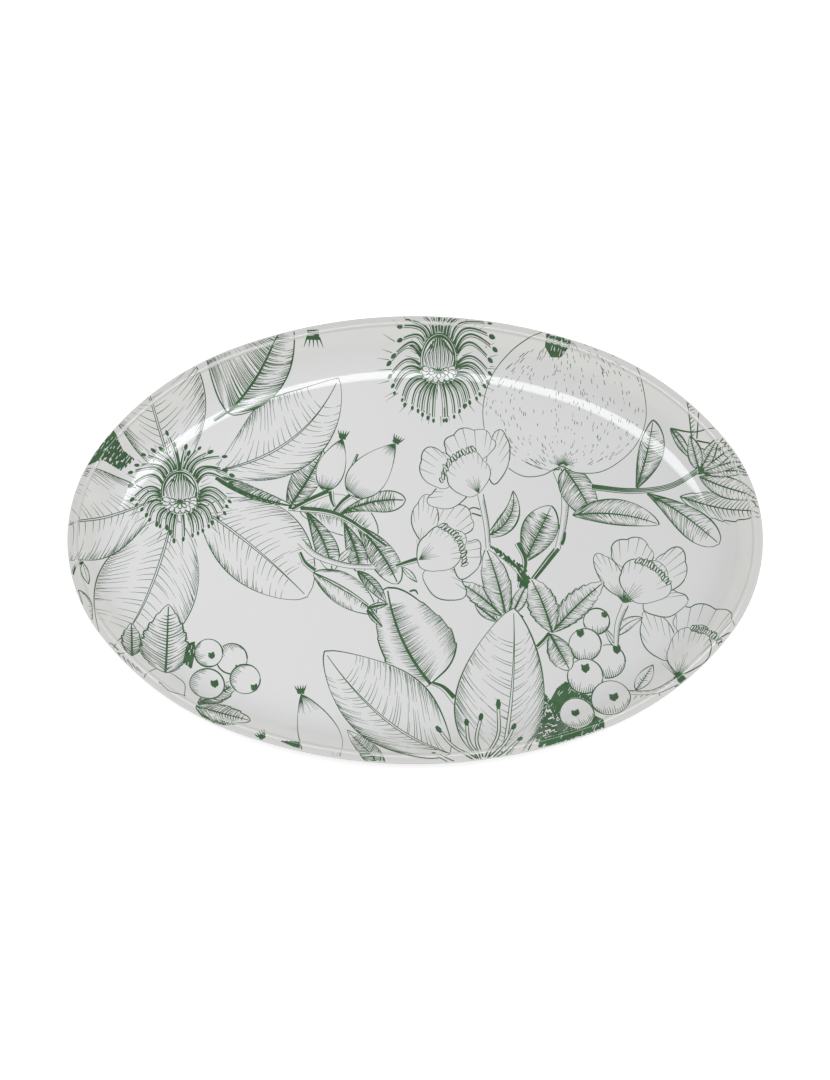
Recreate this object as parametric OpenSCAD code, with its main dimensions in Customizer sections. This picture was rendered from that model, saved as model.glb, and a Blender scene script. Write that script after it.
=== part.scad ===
// Oval serving platter of glazed ceramic with a green botanical transfer print.
// The oval lies in XY with its length along X, and the foot stands on Z = 0.
// Every section is drawn as [inset from the rim, height] and carried round the oval.

/* [Oval] */
// Length over the rim
length = 360; // [340:1:380]
// Width over the rim
width = 240; // [228:1:252]
// Radius of the two end arcs
end_r = 84.08; // [82:0.01:88]

/* [Dish] */
// Height from the table to the top of the lip
height = 25.8; // [22:0.1:30]
// Depth from the lip down to the well
depth = 18.6; // [15:0.1:20]
// Thickness of the wall and the floor
wall = 4.6; // [4:0.1:6]
// Slope of the wall from the level, in degrees
slope = 50; // [48:1:55]
// Radius of the hollow curve from the wall into the well
well_r = 25; // [20:1:26]

/* [Lip] */
// Inset at which the lip is highest
lip_w = 3.6; // [3:0.1:4]
// Angle at which the lip falls away outwards
lip_fall = 22; // [18:1:24]
// Radius of the lip's inner edge
lip_inner_r = 1.8; // [1:0.1:2]
// Radius of the lip's upper outer edge
lip_outer_r = 0.9; // [0.8:0.1:1]
// Radius of the lip's lower outer edge
lip_under_r = 1.2; // [1:0.1:1.4]

/* [Foot] */
// Inset of the foot ring's outer face
foot_inset = 33; // [32.5:0.5:33.5]
// Width of the foot ring where it stands
foot_w = 5; // [4:0.5:6]
// How far each side of the foot ring slopes
foot_taper = 0.8; // [0.4:0.1:1.2]

/* [Glaze] */
// Thickness of the clear glaze
glaze = 0.35; // [0.3:0.05:0.5]
// Height at which the glaze stops on the foot, above the table
dry_foot = 1; // [0.6:0.1:1.4]

/* [Print] */
// Thickness of the printed colour
ink = 0.12; // [0.1:0.01:0.2]
// Width of a printed line
line = 0.8; // [0.6:0.1:1.2]

/* [Hidden] */
$fn = 96;

// Directions at which the arcs meet. Their whole decimals make neighbouring arcs meet exactly.
END_TURN = [0.8, 0.6];
SIDE_TURN = [0.352, 0.936];
core_inset = 50;       // from here inwards the platter is a flat slab
slab_inset = 40;       // the slab reaches out to here, into the swept part
floor_z = height - depth;
normal = 90 - slope;   // direction of the wall's upper face in the section
above = 40;            // height of a cutter that clears the platter

// Steps from arc to arc that close the oval on its length and width
across = length / 2 - end_r;
up = width / 2 - end_r;
step_det = END_TURN.x * (1 - SIDE_TURN.y) - SIDE_TURN.x * (1 - END_TURN.y);
shoulder_step = snap((across * (1 - SIDE_TURN.y) - SIDE_TURN.x * up) / step_det);
side_step = snap((END_TURN.x * up - (1 - END_TURN.y) * across) / step_det);

// Centres and radii of the three arcs of one quarter
end_c = [length / 2 - end_r, 0];
shoulder_r = end_r + shoulder_step;
shoulder_c = end_c - shoulder_step * END_TURN;
side_r = shoulder_r + side_step;
side_c = shoulder_c - side_step * SIDE_TURN;

// The quarter's arcs: centre, radius, first and last direction, length of the cutting wedge
QUARTER = [
    [end_c, end_r, [1, 0], END_TURN, 150],
    [shoulder_c, shoulder_r, END_TURN, SIDE_TURN, 250],
    [side_c, side_r, SIDE_TURN, [0, 1], 500]
];
// Which way each quarter is turned over: right top, left top, left bottom, right bottom
FLIPS = [[1, 1], [-1, 1], [-1, -1], [1, -1]];
RT = 0;
LT = 1;
LB = 2;
RB = 3;

function snap(v) = round(v * 100) / 100;
function turn(a) = [cos(a), sin(a)];
function arc(c, r, from, to, n) = [for (i = [0:n]) c + r * turn(from + (to - from) * i / n)];
function backwards(list) = [for (i = [len(list) - 1:-1:0]) list[i]];
function tail(list) = [for (i = [1:len(list) - 1]) list[i]];
function once(list) = [for (i = [0:len(list) - 1])
    if (norm(list[i] - list[(i + 1) % len(list)]) > 0.05) list[i]];
function flip(p, f) = [p.x * f.x, p.y * f.y];

// Section of the wall: where the lip's round ends and where the hollow curve has its centre
lip_c = [lip_w, height - lip_inner_r];
lip_end = lip_c + lip_inner_r * turn(normal);
fall = lip_end.y - floor_z - well_r * (1 - cos(slope));
well_c = [lip_end.x + fall / tan(slope) + well_r * sin(slope), floor_z + well_r];
under_line = lip_end * turn(normal) - wall;
under_c = [lip_under_r,
    (under_line + lip_under_r * (1 - cos(normal))) / sin(normal)];
rim_turn = 90 + lip_fall;
lip_line = (lip_c - [lip_outer_r, 0]) * turn(rim_turn) + lip_inner_r - lip_outer_r;
lip_outer_c = [lip_outer_r, max(lip_line / sin(rim_turn), under_c.y + 0.1)];
split_z = (lip_outer_c.y + under_c.y) / 2;
under_z = floor_z - wall;
foot_top = under_z + glaze;

// Upper face of the ware from the lip's slope to the well, sunk by g
function dish_line(g) = concat(
    [lip_outer_c + (lip_outer_r - g) * turn(rim_turn)],
    arc(lip_c, lip_inner_r - g, rim_turn, normal, 4),
    arc(well_c, well_r + g, 180 + normal, 270, 6),
    [[core_inset, floor_z - g]]
);
// The same with the lip's outer edge
function face_line(g) = concat(
    [[g, split_z]],
    arc(lip_outer_c, lip_outer_r - g, 180, rim_turn + 22, 3),
    dish_line(g)
);
// Lower face outside the foot ring, sunk by g
function back_line(g) = concat(
    [[g, split_z]],
    arc(under_c, lip_under_r - g, 180, 180 + normal, 3),
    arc(well_c, well_r + wall - g, 180 + normal, 270, 5)
);
// Inset of the foot ring's outer (-1) or inner (1) face at a height
function foot_side(face, z) =
    foot_inset + (face < 0 ? 0 : foot_w) + face * foot_taper * z / foot_top;

// Carries a section [inset, height] round the quarters named
module around(quarters = [RT, LT, LB, RB], arcs = [0, 1, 2]) {
    for (q = quarters)
        for (i = arcs)
            mirror([FLIPS[q].x < 0 ? 1 : 0, 0, 0])
                mirror([0, FLIPS[q].y < 0 ? 1 : 0, 0])
                    arc_part(QUARTER[i]) children();
}

module arc_part(a) {
    intersection() {
        translate(a[0])
            rotate(180)
                rotate_extrude()
                    translate([a[1], 0]) mirror([1, 0]) children();
        translate([0, 0, -1])
            linear_extrude(above)
                polygon([a[0], a[0] + a[4] * a[2], a[0] + a[4] * (a[2] + a[3]) * 0.75,
                    a[0] + a[4] * a[3]]);
    }
}

// The flat middle of the platter, a polygon that ends inside the swept part
module slab(low, high) {
    quarter = [
        for (a = QUARTER)
            for (h = [0, 0.5])
                let (way = a[2] + (a[3] - a[2]) * h)
                    a[0] + (a[1] - slab_inset) * way / norm(way),
        side_c + (side_r - slab_inset) * [0, 1]
    ];
    rim = [
        for (q = [RT, LT, LB, RB])
            let (one_way = [for (p = quarter) flip(p, FLIPS[q])])
                for (p = (q == LT || q == RB) ? backwards(one_way) : one_way)
                    [snap(p.x), snap(p.y)]
    ];
    translate([0, 0, low]) linear_extrude(high - low) polygon(once(rim));
}

// Section points to a hundredth, so that arcs of different radius meet on the same points
module section(points) {
    polygon([for (p = points) [snap(p.x), snap(p.y)]]);
}

module clay_body() {
    color("ivory")
        union() {
            around()
                section(concat(
                    face_line(glaze),
                    [[core_inset, foot_top],
                        [foot_side(1, foot_top), foot_top],
                        [foot_side(1, 0), 0],
                        [foot_side(-1, 0), 0],
                        [foot_side(-1, foot_top), foot_top]],
                    backwards(tail(back_line(glaze)))
                ));
            slab(foot_top, floor_z - glaze);
        }
}

module face_glaze() {
    color("white")
        union() {
            around() section(concat(face_line(0), backwards(face_line(glaze))));
            slab(floor_z - glaze, floor_z);
        }
}

module back_glaze() {
    color("whitesmoke")
        around()
            section(concat(
                back_line(0),
                [[foot_side(-1, under_z) - glaze, under_z],
                    [foot_side(-1, dry_foot) - glaze, dry_foot],
                    [foot_side(-1, dry_foot), dry_foot],
                    [foot_side(-1, foot_top), foot_top]],
                backwards(back_line(glaze))
            ));
}

module recess_glaze() {
    color("whitesmoke")
        union() {
            around()
                section([
                    [foot_side(1, dry_foot), dry_foot],
                    [foot_side(1, dry_foot) + glaze, dry_foot],
                    [foot_side(1, under_z) + glaze, under_z],
                    [core_inset, under_z],
                    [core_inset, foot_top],
                    [foot_side(1, foot_top), foot_top]
                ]);
            slab(under_z, foot_top);
        }
}

// ---- Pieces of the print, drawn flat and laid on the dish from above ----

// Thin coat over the face, in the quarters and arcs named, with or without the flat middle
module coat(quarters, arcs, middle) {
    if (len(quarters) > 0)
        around(quarters, arcs) section(concat(dish_line(-ink), backwards(dish_line(0))));
    if (middle) slab(floor_z, floor_z + ink);
}

module printed(quarters = [], arcs = [0, 1, 2], middle = true) {
    color("darkgreen")
        intersection() {
            union() coat(quarters, arcs, middle);
            translate([0, 0, 1]) linear_extrude(above) children();
        }
}

module at(x, y, turned = 0) {
    translate([x, y]) rotate(turned) children();
}

function bow(len, bend, n = 8) = [for (i = [0:n]) [len * i / n, 4 * bend * i / n * (1 - i / n)]];
function side(p, i) =
    let (d = p[min(i + 1, len(p) - 1)] - p[max(i - 1, 0)]) [-d.y, d.x] / norm(d);
// Line along the points p whose width goes from a to b
module stroke(p, a = line, b = line) {
    n = len(p) - 1;
    w = [for (i = [0:n]) (a + (b - a) * i / n) / 2 * side(p, i)];
    polygon(concat([for (i = [0:n]) p[i] + w[i]], [for (i = [n:-1:0]) p[i] - w[i]]));
}

// Outline of a blade from the origin to [len, 0], drawn in by m
function blade_half(t, w, belly) = w * sin(180 * pow(t, belly));
function blade_mid(x, len, bend) = 4 * bend * x / len * (1 - x / len);
function blade(len, w, belly, bend, teeth, m, n = 18) =
    let (at_x = function(t) 1.6 * m + (len - 4 * m) * t)
    let (half = function(i) blade_half(i / n, w - m, belly) * (1 + teeth * (i % 2)))
        concat(
            [for (i = [0:n]) [at_x(i / n), blade_mid(at_x(i / n), len, bend) + half(i)]],
            [for (i = [n - 1:-1:1]) [at_x(i / n), blade_mid(at_x(i / n), len, bend) - half(i)]]
        );
module leaf(len, w, belly = 0.8, bend = 0, veins = 5, teeth = 0) {
    difference() {
        polygon(blade(len, w, belly, bend, teeth, 0));
        polygon(blade(len, w, belly, bend, teeth, line));
    }
    mid = bow(len * 0.93, bend);
    stroke([for (p = mid) [p.x + len * 0.02, p.y]], line * 1.4, line * 0.6);
    for (i = [1:1:veins], s = [-1, 1]) {
        t = 0.12 + 0.68 * i / veins - 0.05;
        from = [t * len, blade_mid(t * len, len, bend)];
        to = [(t + 0.1) * len,
            blade_mid((t + 0.1) * len, len, bend) + s * 0.8 * blade_half(t + 0.1, w, belly)];
        stroke([from, to], line * 0.8, line * 0.5);
    }
}
module disc(rx, ry) {
    polygon([for (i = [0:23]) [rx * cos(i * 15), ry * sin(i * 15)]]);
}
module ring(rx, ry) {
    difference() {
        disc(rx, ry);
        disc(rx - line, ry - line);
    }
}
module berry(r, spot = 40) {
    ring(r, r * 0.95);
    at(0.35 * r * cos(spot), 0.35 * r * sin(spot), spot) square(r * 0.34, center = true);
}
// Tuft of stamens: thin lines from one radius to another that end in a thick tip
module tuft(from, to, first, last, count, tip = 1.6) {
    for (i = [0:1:count - 1]) {
        a = first + (last - first) * i / max(count - 1, 1);
        r = to * (1 - 0.12 * (i % 2));
        polygon([
            turn(a) * from + turn(a + 90) * line / 2,
            turn(a) * (r - tip * 1.6) + turn(a + 90) * line / 3,
            turn(a) * (r - tip) + turn(a + 90) * tip / 2, turn(a) * r + turn(a + 90) * tip / 3,
            turn(a) * r - turn(a + 90) * tip / 3, turn(a) * (r - tip) - turn(a + 90) * tip / 2,
            turn(a) * (r - tip * 1.6) - turn(a + 90) * line / 3,
            turn(a) * from - turn(a + 90) * line / 2
        ]);
    }
}
// Scalloped petal of a small flower, from the origin towards +X
function petal_edge(len, w, m) = concat(
    [[m * 1.5, 0]],
    [for (i = [-9:1:9])
        let (a = i * 10, r = 1 + 0.07 * cos(a * 6))
            [len * 0.42 + (len * 0.58 - m) * cos(a) * r, (w - m) * sin(a) * r]]
);
module petal(len, w) {
    difference() {
        polygon(petal_edge(len, w, 0));
        polygon(petal_edge(len, w, line));
    }
}
// Open flower seen from the side: two wide petals behind, one in front, stamens between
module open_flower(size) {
    difference() {
        union() {
            rotate(52) petal(size * 1.05, size * 0.42);
            rotate(-50) petal(size, size * 0.4);
            rotate(4) petal(size * 1.3, size * 0.5);
        }
        polygon(petal_edge(size * 0.95, size * 0.42, 0));
    }
    petal(size * 0.95, size * 0.42);
    tuft(size * 0.99, size * 1.15, -20, 22, 5, 1.2);
}
// Crown of a hip: a little collar with spread teeth
module crown(w) {
    polygon([
        [0, -w * 0.3], [w * 0.7, -w * 0.62], [w * 0.6, -w * 0.25], [w * 1.05, -w * 0.2],
        [w * 0.65, 0], [w * 1.05, w * 0.25], [w * 0.6, w * 0.28], [w * 0.75, w * 0.65],
        [0, w * 0.3]
    ]);
}
module hip(len, w, neck) {
    difference() {
        polygon(blade(len, w, 0.62, 0, 0, 0));
        polygon(blade(len, w, 0.62, 0, 0, line));
    }
    stroke([[len - 1.5, 0], [len + neck, 0]], line * 1.6, line);
    at(len + neck - 0.5, 0) crown(6);
}
module shaded_bulb(rx, ry) {
    ring(rx, ry);
    for (i = [-1:1:1])
        stroke([[i * rx * 0.4, -ry * 0.5], [i * rx * 0.3, ry * 0.6]], line, line * 0.6);
}

module print_star_flower() {
    printed([LT, LB])
        union() {
            at(-122, 29) {
                at(17, 14, 37) leaf(79, 27, 0.85, -5, 6);
                at(-8, 20, 116) leaf(42, 24, 0.8, 0, 3);
                at(-20, -3, 197) leaf(37, 20, 0.8, 0, 3);
                at(-7, -22, 250) leaf(72, 26, 0.9, 3, 6);
                at(18, -14, -41) leaf(66, 25, 0.85, -4, 6);
                shaded_bulb(9, 11);
                tuft(13, 26, -60, 240, 26);
            }
        }
}

module print_crest_flower() {
    printed([RT, LT], [2], false)
        at(12, 102) {
            at(-1, 2) shaded_bulb(7, 8);
            tuft(11, 26, 10, 35, 3);
            tuft(10, 16, 50, 130, 7);
            tuft(11, 27, 145, 345, 18);
        }
}

module print_folded_leaf() {
    printed([LT], [0, 1, 2], false) {
        at(-116, 76, 42) leaf(44, 11, 0.8, 3, 7);
        at(-107, 74, 18) stroke(bow(30, 4), line, line);
    }
}

module print_rim_calyx() {
    printed([LT], [0, 1], false)
        polygon([[-150, 62], [-144, 52], [-140, 44], [-146, 40], [-160, 38], [-167, 37],
            [-164, 46], [-158, 54]]);
}

module print_rosehips() {
    printed() {
        at(-46, 29, 81) hip(24, 8, 5);
        at(-35, 30, 52) hip(27, 8, 8);
        stroke([[-64, 20], [-54, 24], [-46, 29.5]], 2, 1.6);
        stroke([[-45, 18], [-39, 24], [-35, 30.5]], 2, 1.6);
    }
    printed([LT], [2], false) at(-53.5, 110, 268) crown(7);
}

module print_lobed_leaf() {
    printed()
        union() {
            at(-62, 19, -8) stroke(bow(46, 3), 2, 1);
            at(-40, 16, 32) leaf(28, 5.5, 1, 1, 4);
            at(-46, 17, -72) leaf(27, 5, 1, 1, 4);
            at(-36, 15, -62) leaf(26, 5.5, 1, 1, 4);
            at(-24, 14, -50) leaf(26, 6, 1, -1, 4);
            at(-99, 32, 4) leaf(24, 3.5, 0.8, 0, 3);
        }
}

module print_closed_bud() {
    printed() {
        at(-50, -14, -37) {
            leaf(34, 9, 0.9, 0, 0);
            stroke(bow(32, 5), line, line * 0.7);
            at(31, 0) crown(7);
        }
        stroke([[-58, -5], [-30, -11], [1, -5]], 1.6, 1.2);
        at(-30, -10, 60) leaf(9, 2.5, 0.8, 0, 0);
        at(-26, -13, -42) leaf(16, 3.5, 0.8, 0, 3);
    }
}

module print_left_berries() {
    printed([LB], [0, 1, 2]) {
        at(-107, -57) berry(7.2, 300);
        at(-106, -74) berry(8.2, 330);
        at(-88, -69) berry(7.6, 300);
        at(-93, -56.5) stroke([[-5.5, -3], [-2, 3.5], [3, 3.5]], line * 2.4, line);
        at(-120, -70, 89) leaf(36, 12, 0.8, 0, 6, 0.08);
        at(-138, -58, 82) leaf(15, 5, 0.8, 0, 3, 0.1);
        at(-108, -88, 0) leaf(25, 6, 1, 0, 4, 0.12);
    }
}

module print_bottom_hip() {
    printed([LB], [1, 2]) {
        at(-44, -113, 110) hip(33, 10, 3);
        at(-78, -106.5, -20) crown(5);
        at(-28, -99, -58) leaf(14, 6, 0.8, 0, 3);
    }
}

module print_heart_leaf() {
    printed([RB, LB], [2]) {
        at(5, -71, 107) leaf(55, 21, 0.75, -3, 7, 0.03);
        stroke([[4, -72], [12, -78], [20, -82]], 2.6, 2);
        at(1, -9, 220) stroke(bow(10, 2), line, line);
    }
}

module print_lily() {
    printed([RB, LB], [1, 2]) {
        at(44, -97, 100) leaf(62, 21, 0.85, 3, 6);
        at(-43, -60, -36) leaf(66, 16, 0.85, -4, 7);
        at(34, -116) tuft(3, 31, 30, 140, 8, 2.4);
    }
}

module print_twin_peonies() {
    printed()
        union() {
            at(35, 30, 112) open_flower(30);
            at(3, -6, 30) open_flower(29);
            stroke([[34.5, 28], [38, 12], [38, -4]], 1.8, 1.4);
            at(40, 2, 62) leaf(25, 5, 0.9, -2, 5);
            at(38, 11, 160) leaf(14, 3, 0.9, 1, 0);
        }
}

module print_big_fruit() {
    printed([RT], [0, 1, 2])
        union() {
            difference() {
                polygon(fruit_edge(0));
                polygon(fruit_edge(line));
            }
            for (i = [-3:1:3], j = [-2:1:2])
                if (abs(i) + abs(j) < 5)
                    at(79 + i * 11 + (j % 2) * 4, 72 + j * 13)
                        stroke([[0, -2], [0.4, 2]], line, line * 0.7);
            at(77, 104) polygon([[-8, 5], [-7, -2], [0, -6], [7, -3], [9, 3], [2, 7]]);
            at(72, 100) stroke([[0, 0], [-7, -7]], line, line * 0.6);
        }
}
function fruit_edge(m) = [for (i = [0:35])
    let (a = i * 10, r = 1 - 0.12 * pow(max(0, sin(-a)), 12))
        [79 + (42 - m) * cos(a) * r, 71 + (35 - m) * sin(a) * r]];

module print_fruit_leaves() {
    printed([RT], [0, 1])
        union() {
            at(112, 34, 66) leaf(34, 8, 1, -2, 6);
            at(80, 35, -62) leaf(27, 8, 0.8, 2, 5);
            at(86, 12, 12) leaf(38, 7, 1, 3, 6);
            stroke([[76, 37], [79, 20], [77, 4], [73, -14]], 3, 1.6);
            stroke([[96, 31], [120, 30.5], [142, 37]], 2.6, 2);
        }
}

module print_rim_branch() {
    printed([RT, RB], [0])
        union() {
            at(146, 39) {
                for (a = [-12, 24, 50, 118]) at(0, 0, a) leaf(21, 3.6, 0.8, 0, 2);
                at(-2, 16, 68) stroke([[0, 0], [12, 0]], line * 2, line);
            }
            at(121, 24, -28) leaf(41, 7.5, 1, -2, 6);
            at(140, 22, -8) leaf(35, 7, 0.9, 0, 5, 0.08);
        }
}

module print_right_peony() {
    printed([RB, RT], [0, 1])
        union() {
            at(113, -37, 72) open_flower(31);
            stroke([[112.5, -35.5], [108, -47], [106, -60]], 2, 1.6);
            at(108, -48, 28) leaf(12, 3, 0.9, 0, 2);
        }
}

module print_serrated_leaves() {
    printed()
        union() {
            at(42, -38, 100) leaf(37, 9, 0.8, 0, 7, 0.05);
            at(41, -38, 140) leaf(29, 8, 0.8, 0, 5, 0.05);
            at(37, -42, 155) leaf(15, 3.5, 0.8, 0, 3, 0.05);
            at(76, -46, 112) leaf(36, 10, 0.7, 0, 7, 0.05);
            at(77, -47, 44) leaf(37, 10, 0.7, 0, 7, 0.05);
            at(66, 2, 55) leaf(24, 8, 0.9, 0, 5);
            stroke([[62, -55], [70, -50], [78, -44]], 2, 1.4);
            polygon([[45, -8], [50, -8], [56, -16], [60, -20], [55, -24], [50, -18]]);
        }
}

module print_right_berries() {
    printed([RB], [0, 1, 2])
        union() {
            at(94, -40) berry(6.6, 40);
            at(86, -53) berry(8, 110);
            at(103, -62) berry(8.4, 50);
            at(88, -70) berry(8.8, 80);
            at(105, -84) berry(9.8, 40);
            at(87, -92) berry(9, 130);
            difference() {
                polygon([[65, -76], [71, -80], [78, -73], [84, -76], [92, -79], [96, -90],
                    [98, -98], [80, -106], [62, -111], [64, -92]]);
                at(88, -70) disc(9.4, 9.4);
                at(105, -84) disc(10.4, 10.4);
                at(87, -92) disc(9.6, 9.6);
                for (i = [0:3]) at(66 + i * 3, -98 - i * 1.6, 62) square([9, 0.9]);
            }
        }
}

module print_corner_peony() {
    printed([RB], [0, 1])
        union() {
            at(136, -72, 84) open_flower(28);
            at(116, -76, 62) leaf(15, 4, 0.9, 0, 4);
            stroke([[136, -72], [124, -77], [112, -78]], 2.4, 1.4);
        }
}

clay_body();
face_glaze();
back_glaze();
recess_glaze();
print_star_flower();
print_crest_flower();
print_folded_leaf();
print_rim_calyx();
print_rosehips();
print_lobed_leaf();
print_closed_bud();
print_left_berries();
print_bottom_hip();
print_heart_leaf();
print_lily();
print_twin_peonies();
print_big_fruit();
print_fruit_leaves();
print_rim_branch();
print_right_peony();
print_serrated_leaves();
print_right_berries();
print_corner_peony();
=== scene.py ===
"""Looks of an oval glazed ceramic platter with a green line-drawn botanical transfer print.

The ware is lofted again as smooth, closed coats round the CAD oval, and every motif of the print
is drawn as hundreds of fine tapering lines that lie on the glaze. All sizes are in millimetres in
the plan of the platter, with X along its length, and become metres only when a mesh is made.
"""
from __future__ import annotations

import logging
import math
from dataclasses import dataclass, replace
from enum import Enum
from typing import Protocol

import bpy
import numpy as np
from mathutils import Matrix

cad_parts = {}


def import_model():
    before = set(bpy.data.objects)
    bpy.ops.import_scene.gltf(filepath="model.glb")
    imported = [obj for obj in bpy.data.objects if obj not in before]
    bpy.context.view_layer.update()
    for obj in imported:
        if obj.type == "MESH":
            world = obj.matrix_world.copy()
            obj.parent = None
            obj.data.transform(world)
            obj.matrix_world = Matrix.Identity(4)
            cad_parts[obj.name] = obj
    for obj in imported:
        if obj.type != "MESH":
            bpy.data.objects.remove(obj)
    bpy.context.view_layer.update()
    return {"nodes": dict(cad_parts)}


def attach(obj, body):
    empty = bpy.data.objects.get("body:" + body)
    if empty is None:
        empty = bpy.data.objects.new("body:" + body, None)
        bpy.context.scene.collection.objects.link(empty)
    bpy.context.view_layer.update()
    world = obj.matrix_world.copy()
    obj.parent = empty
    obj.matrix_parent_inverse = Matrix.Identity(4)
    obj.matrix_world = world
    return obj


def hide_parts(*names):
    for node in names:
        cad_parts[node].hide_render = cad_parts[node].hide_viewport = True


MM = 0.001
BODY = "root"
TINY = 1e-9
Point = tuple[float, float]
Colour = tuple[float, float, float]
log = logging.getLogger("platter")


# ---------------------------------------------------------------- the shape of the ware

@dataclass(frozen=True)
class Oval:
    """The platter's outline: arcs of three radii a quarter, tangent where they meet.

    Attributes:
        length: size along X.
        width: size along Y.
        end_radius: radius of the two end arcs.
        end_turn: direction at which an end arc meets a shoulder arc.
        side_turn: direction at which a shoulder arc meets a side arc.
    """

    length: float = 360.0
    width: float = 240.0
    end_radius: float = 84.08
    end_turn: Point = (0.8, 0.6)
    side_turn: Point = (0.352, 0.936)

    # Inset of a point that no arc's wedge holds, and the least reach that has a direction.
    NOWHERE = 1e3
    CENTRE = 1e-6

    def arcs(self) -> list[tuple[float, float, float, float]]:
        """Lists one quarter's arcs.

        Returns:
            For each arc its centre's X and Y, its radius and the direction at which it ends.
        """
        along, up = self.length / 2 - self.end_radius, self.width / 2 - self.end_radius
        (ex, ey), (sx, sy) = self.end_turn, self.side_turn
        det = ex * (1 - sy) - sx * (1 - ey)
        first = (along * (1 - sy) - sx * up) / det
        second = (ex * up - (1 - ey) * along) / det
        cx, cy = along - first * ex, -first * ey
        return [
            (along, 0.0, self.end_radius, math.atan2(ey, ex)),
            (cx, cy, self.end_radius + first, math.atan2(sy, sx)),
            (cx - second * sx, cy - second * sy, self.end_radius + first + second, math.pi / 2),
        ]

    def ring(self, count: int) -> tuple[np.ndarray, np.ndarray, np.ndarray]:
        """Walks once round the outline in even turns of its outward direction.

        Args:
            count: number of stations.

        Returns:
            Each station's arc centre, arc radius and outward direction.
        """
        turn = (np.arange(count) + 0.5) * 2 * math.pi / count
        out = np.stack([np.cos(turn), np.sin(turn)], axis=1)
        folded = np.arctan2(np.abs(out[:, 1]), np.abs(out[:, 0]))
        centre, radius = self._pick(folded, np.sign(out))
        return centre, radius, out

    def _pick(self, folded: np.ndarray, signs: np.ndarray) -> tuple[np.ndarray, np.ndarray]:
        """Finds the centre and radius of the arc that each folded direction falls on."""
        arcs = self.arcs()
        which = (folded[:, None] > np.array([a[3] for a in arcs[:-1]])).sum(axis=1)
        table = np.array([a[:3] for a in arcs])[which]
        return table[:, :2] * signs, table[:, 2]

    def inset(self, spots: np.ndarray) -> tuple[np.ndarray, np.ndarray]:
        """Measures how far points lie inside the outline.

        The arc whose wedge holds the point, folded into one quarter, gives radius less distance.

        Args:
            spots: points of the plan, one a row.

        Returns:
            Insets, and unit directions from the arcs' centres to the points.
        """
        signs = np.where(spots < 0, -1.0, 1.0)
        folded = np.abs(spots)
        best = np.full(len(spots), self.NOWHERE)
        out = np.zeros_like(spots)
        out[:, 1] = 1.0
        start = 0.0
        for cx, cy, radius, stop in self.arcs():
            away = folded - (cx, cy)
            turn = np.arctan2(away[:, 1], away[:, 0])
            reach = np.hypot(away[:, 0], away[:, 1])
            mine = (turn >= start - TINY) & (turn <= stop + TINY) & (reach > self.CENTRE)
            best[mine] = (radius - reach)[mine]
            out[mine] = away[mine] / reach[mine, None]
            start = stop
        return best, out * signs


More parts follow.
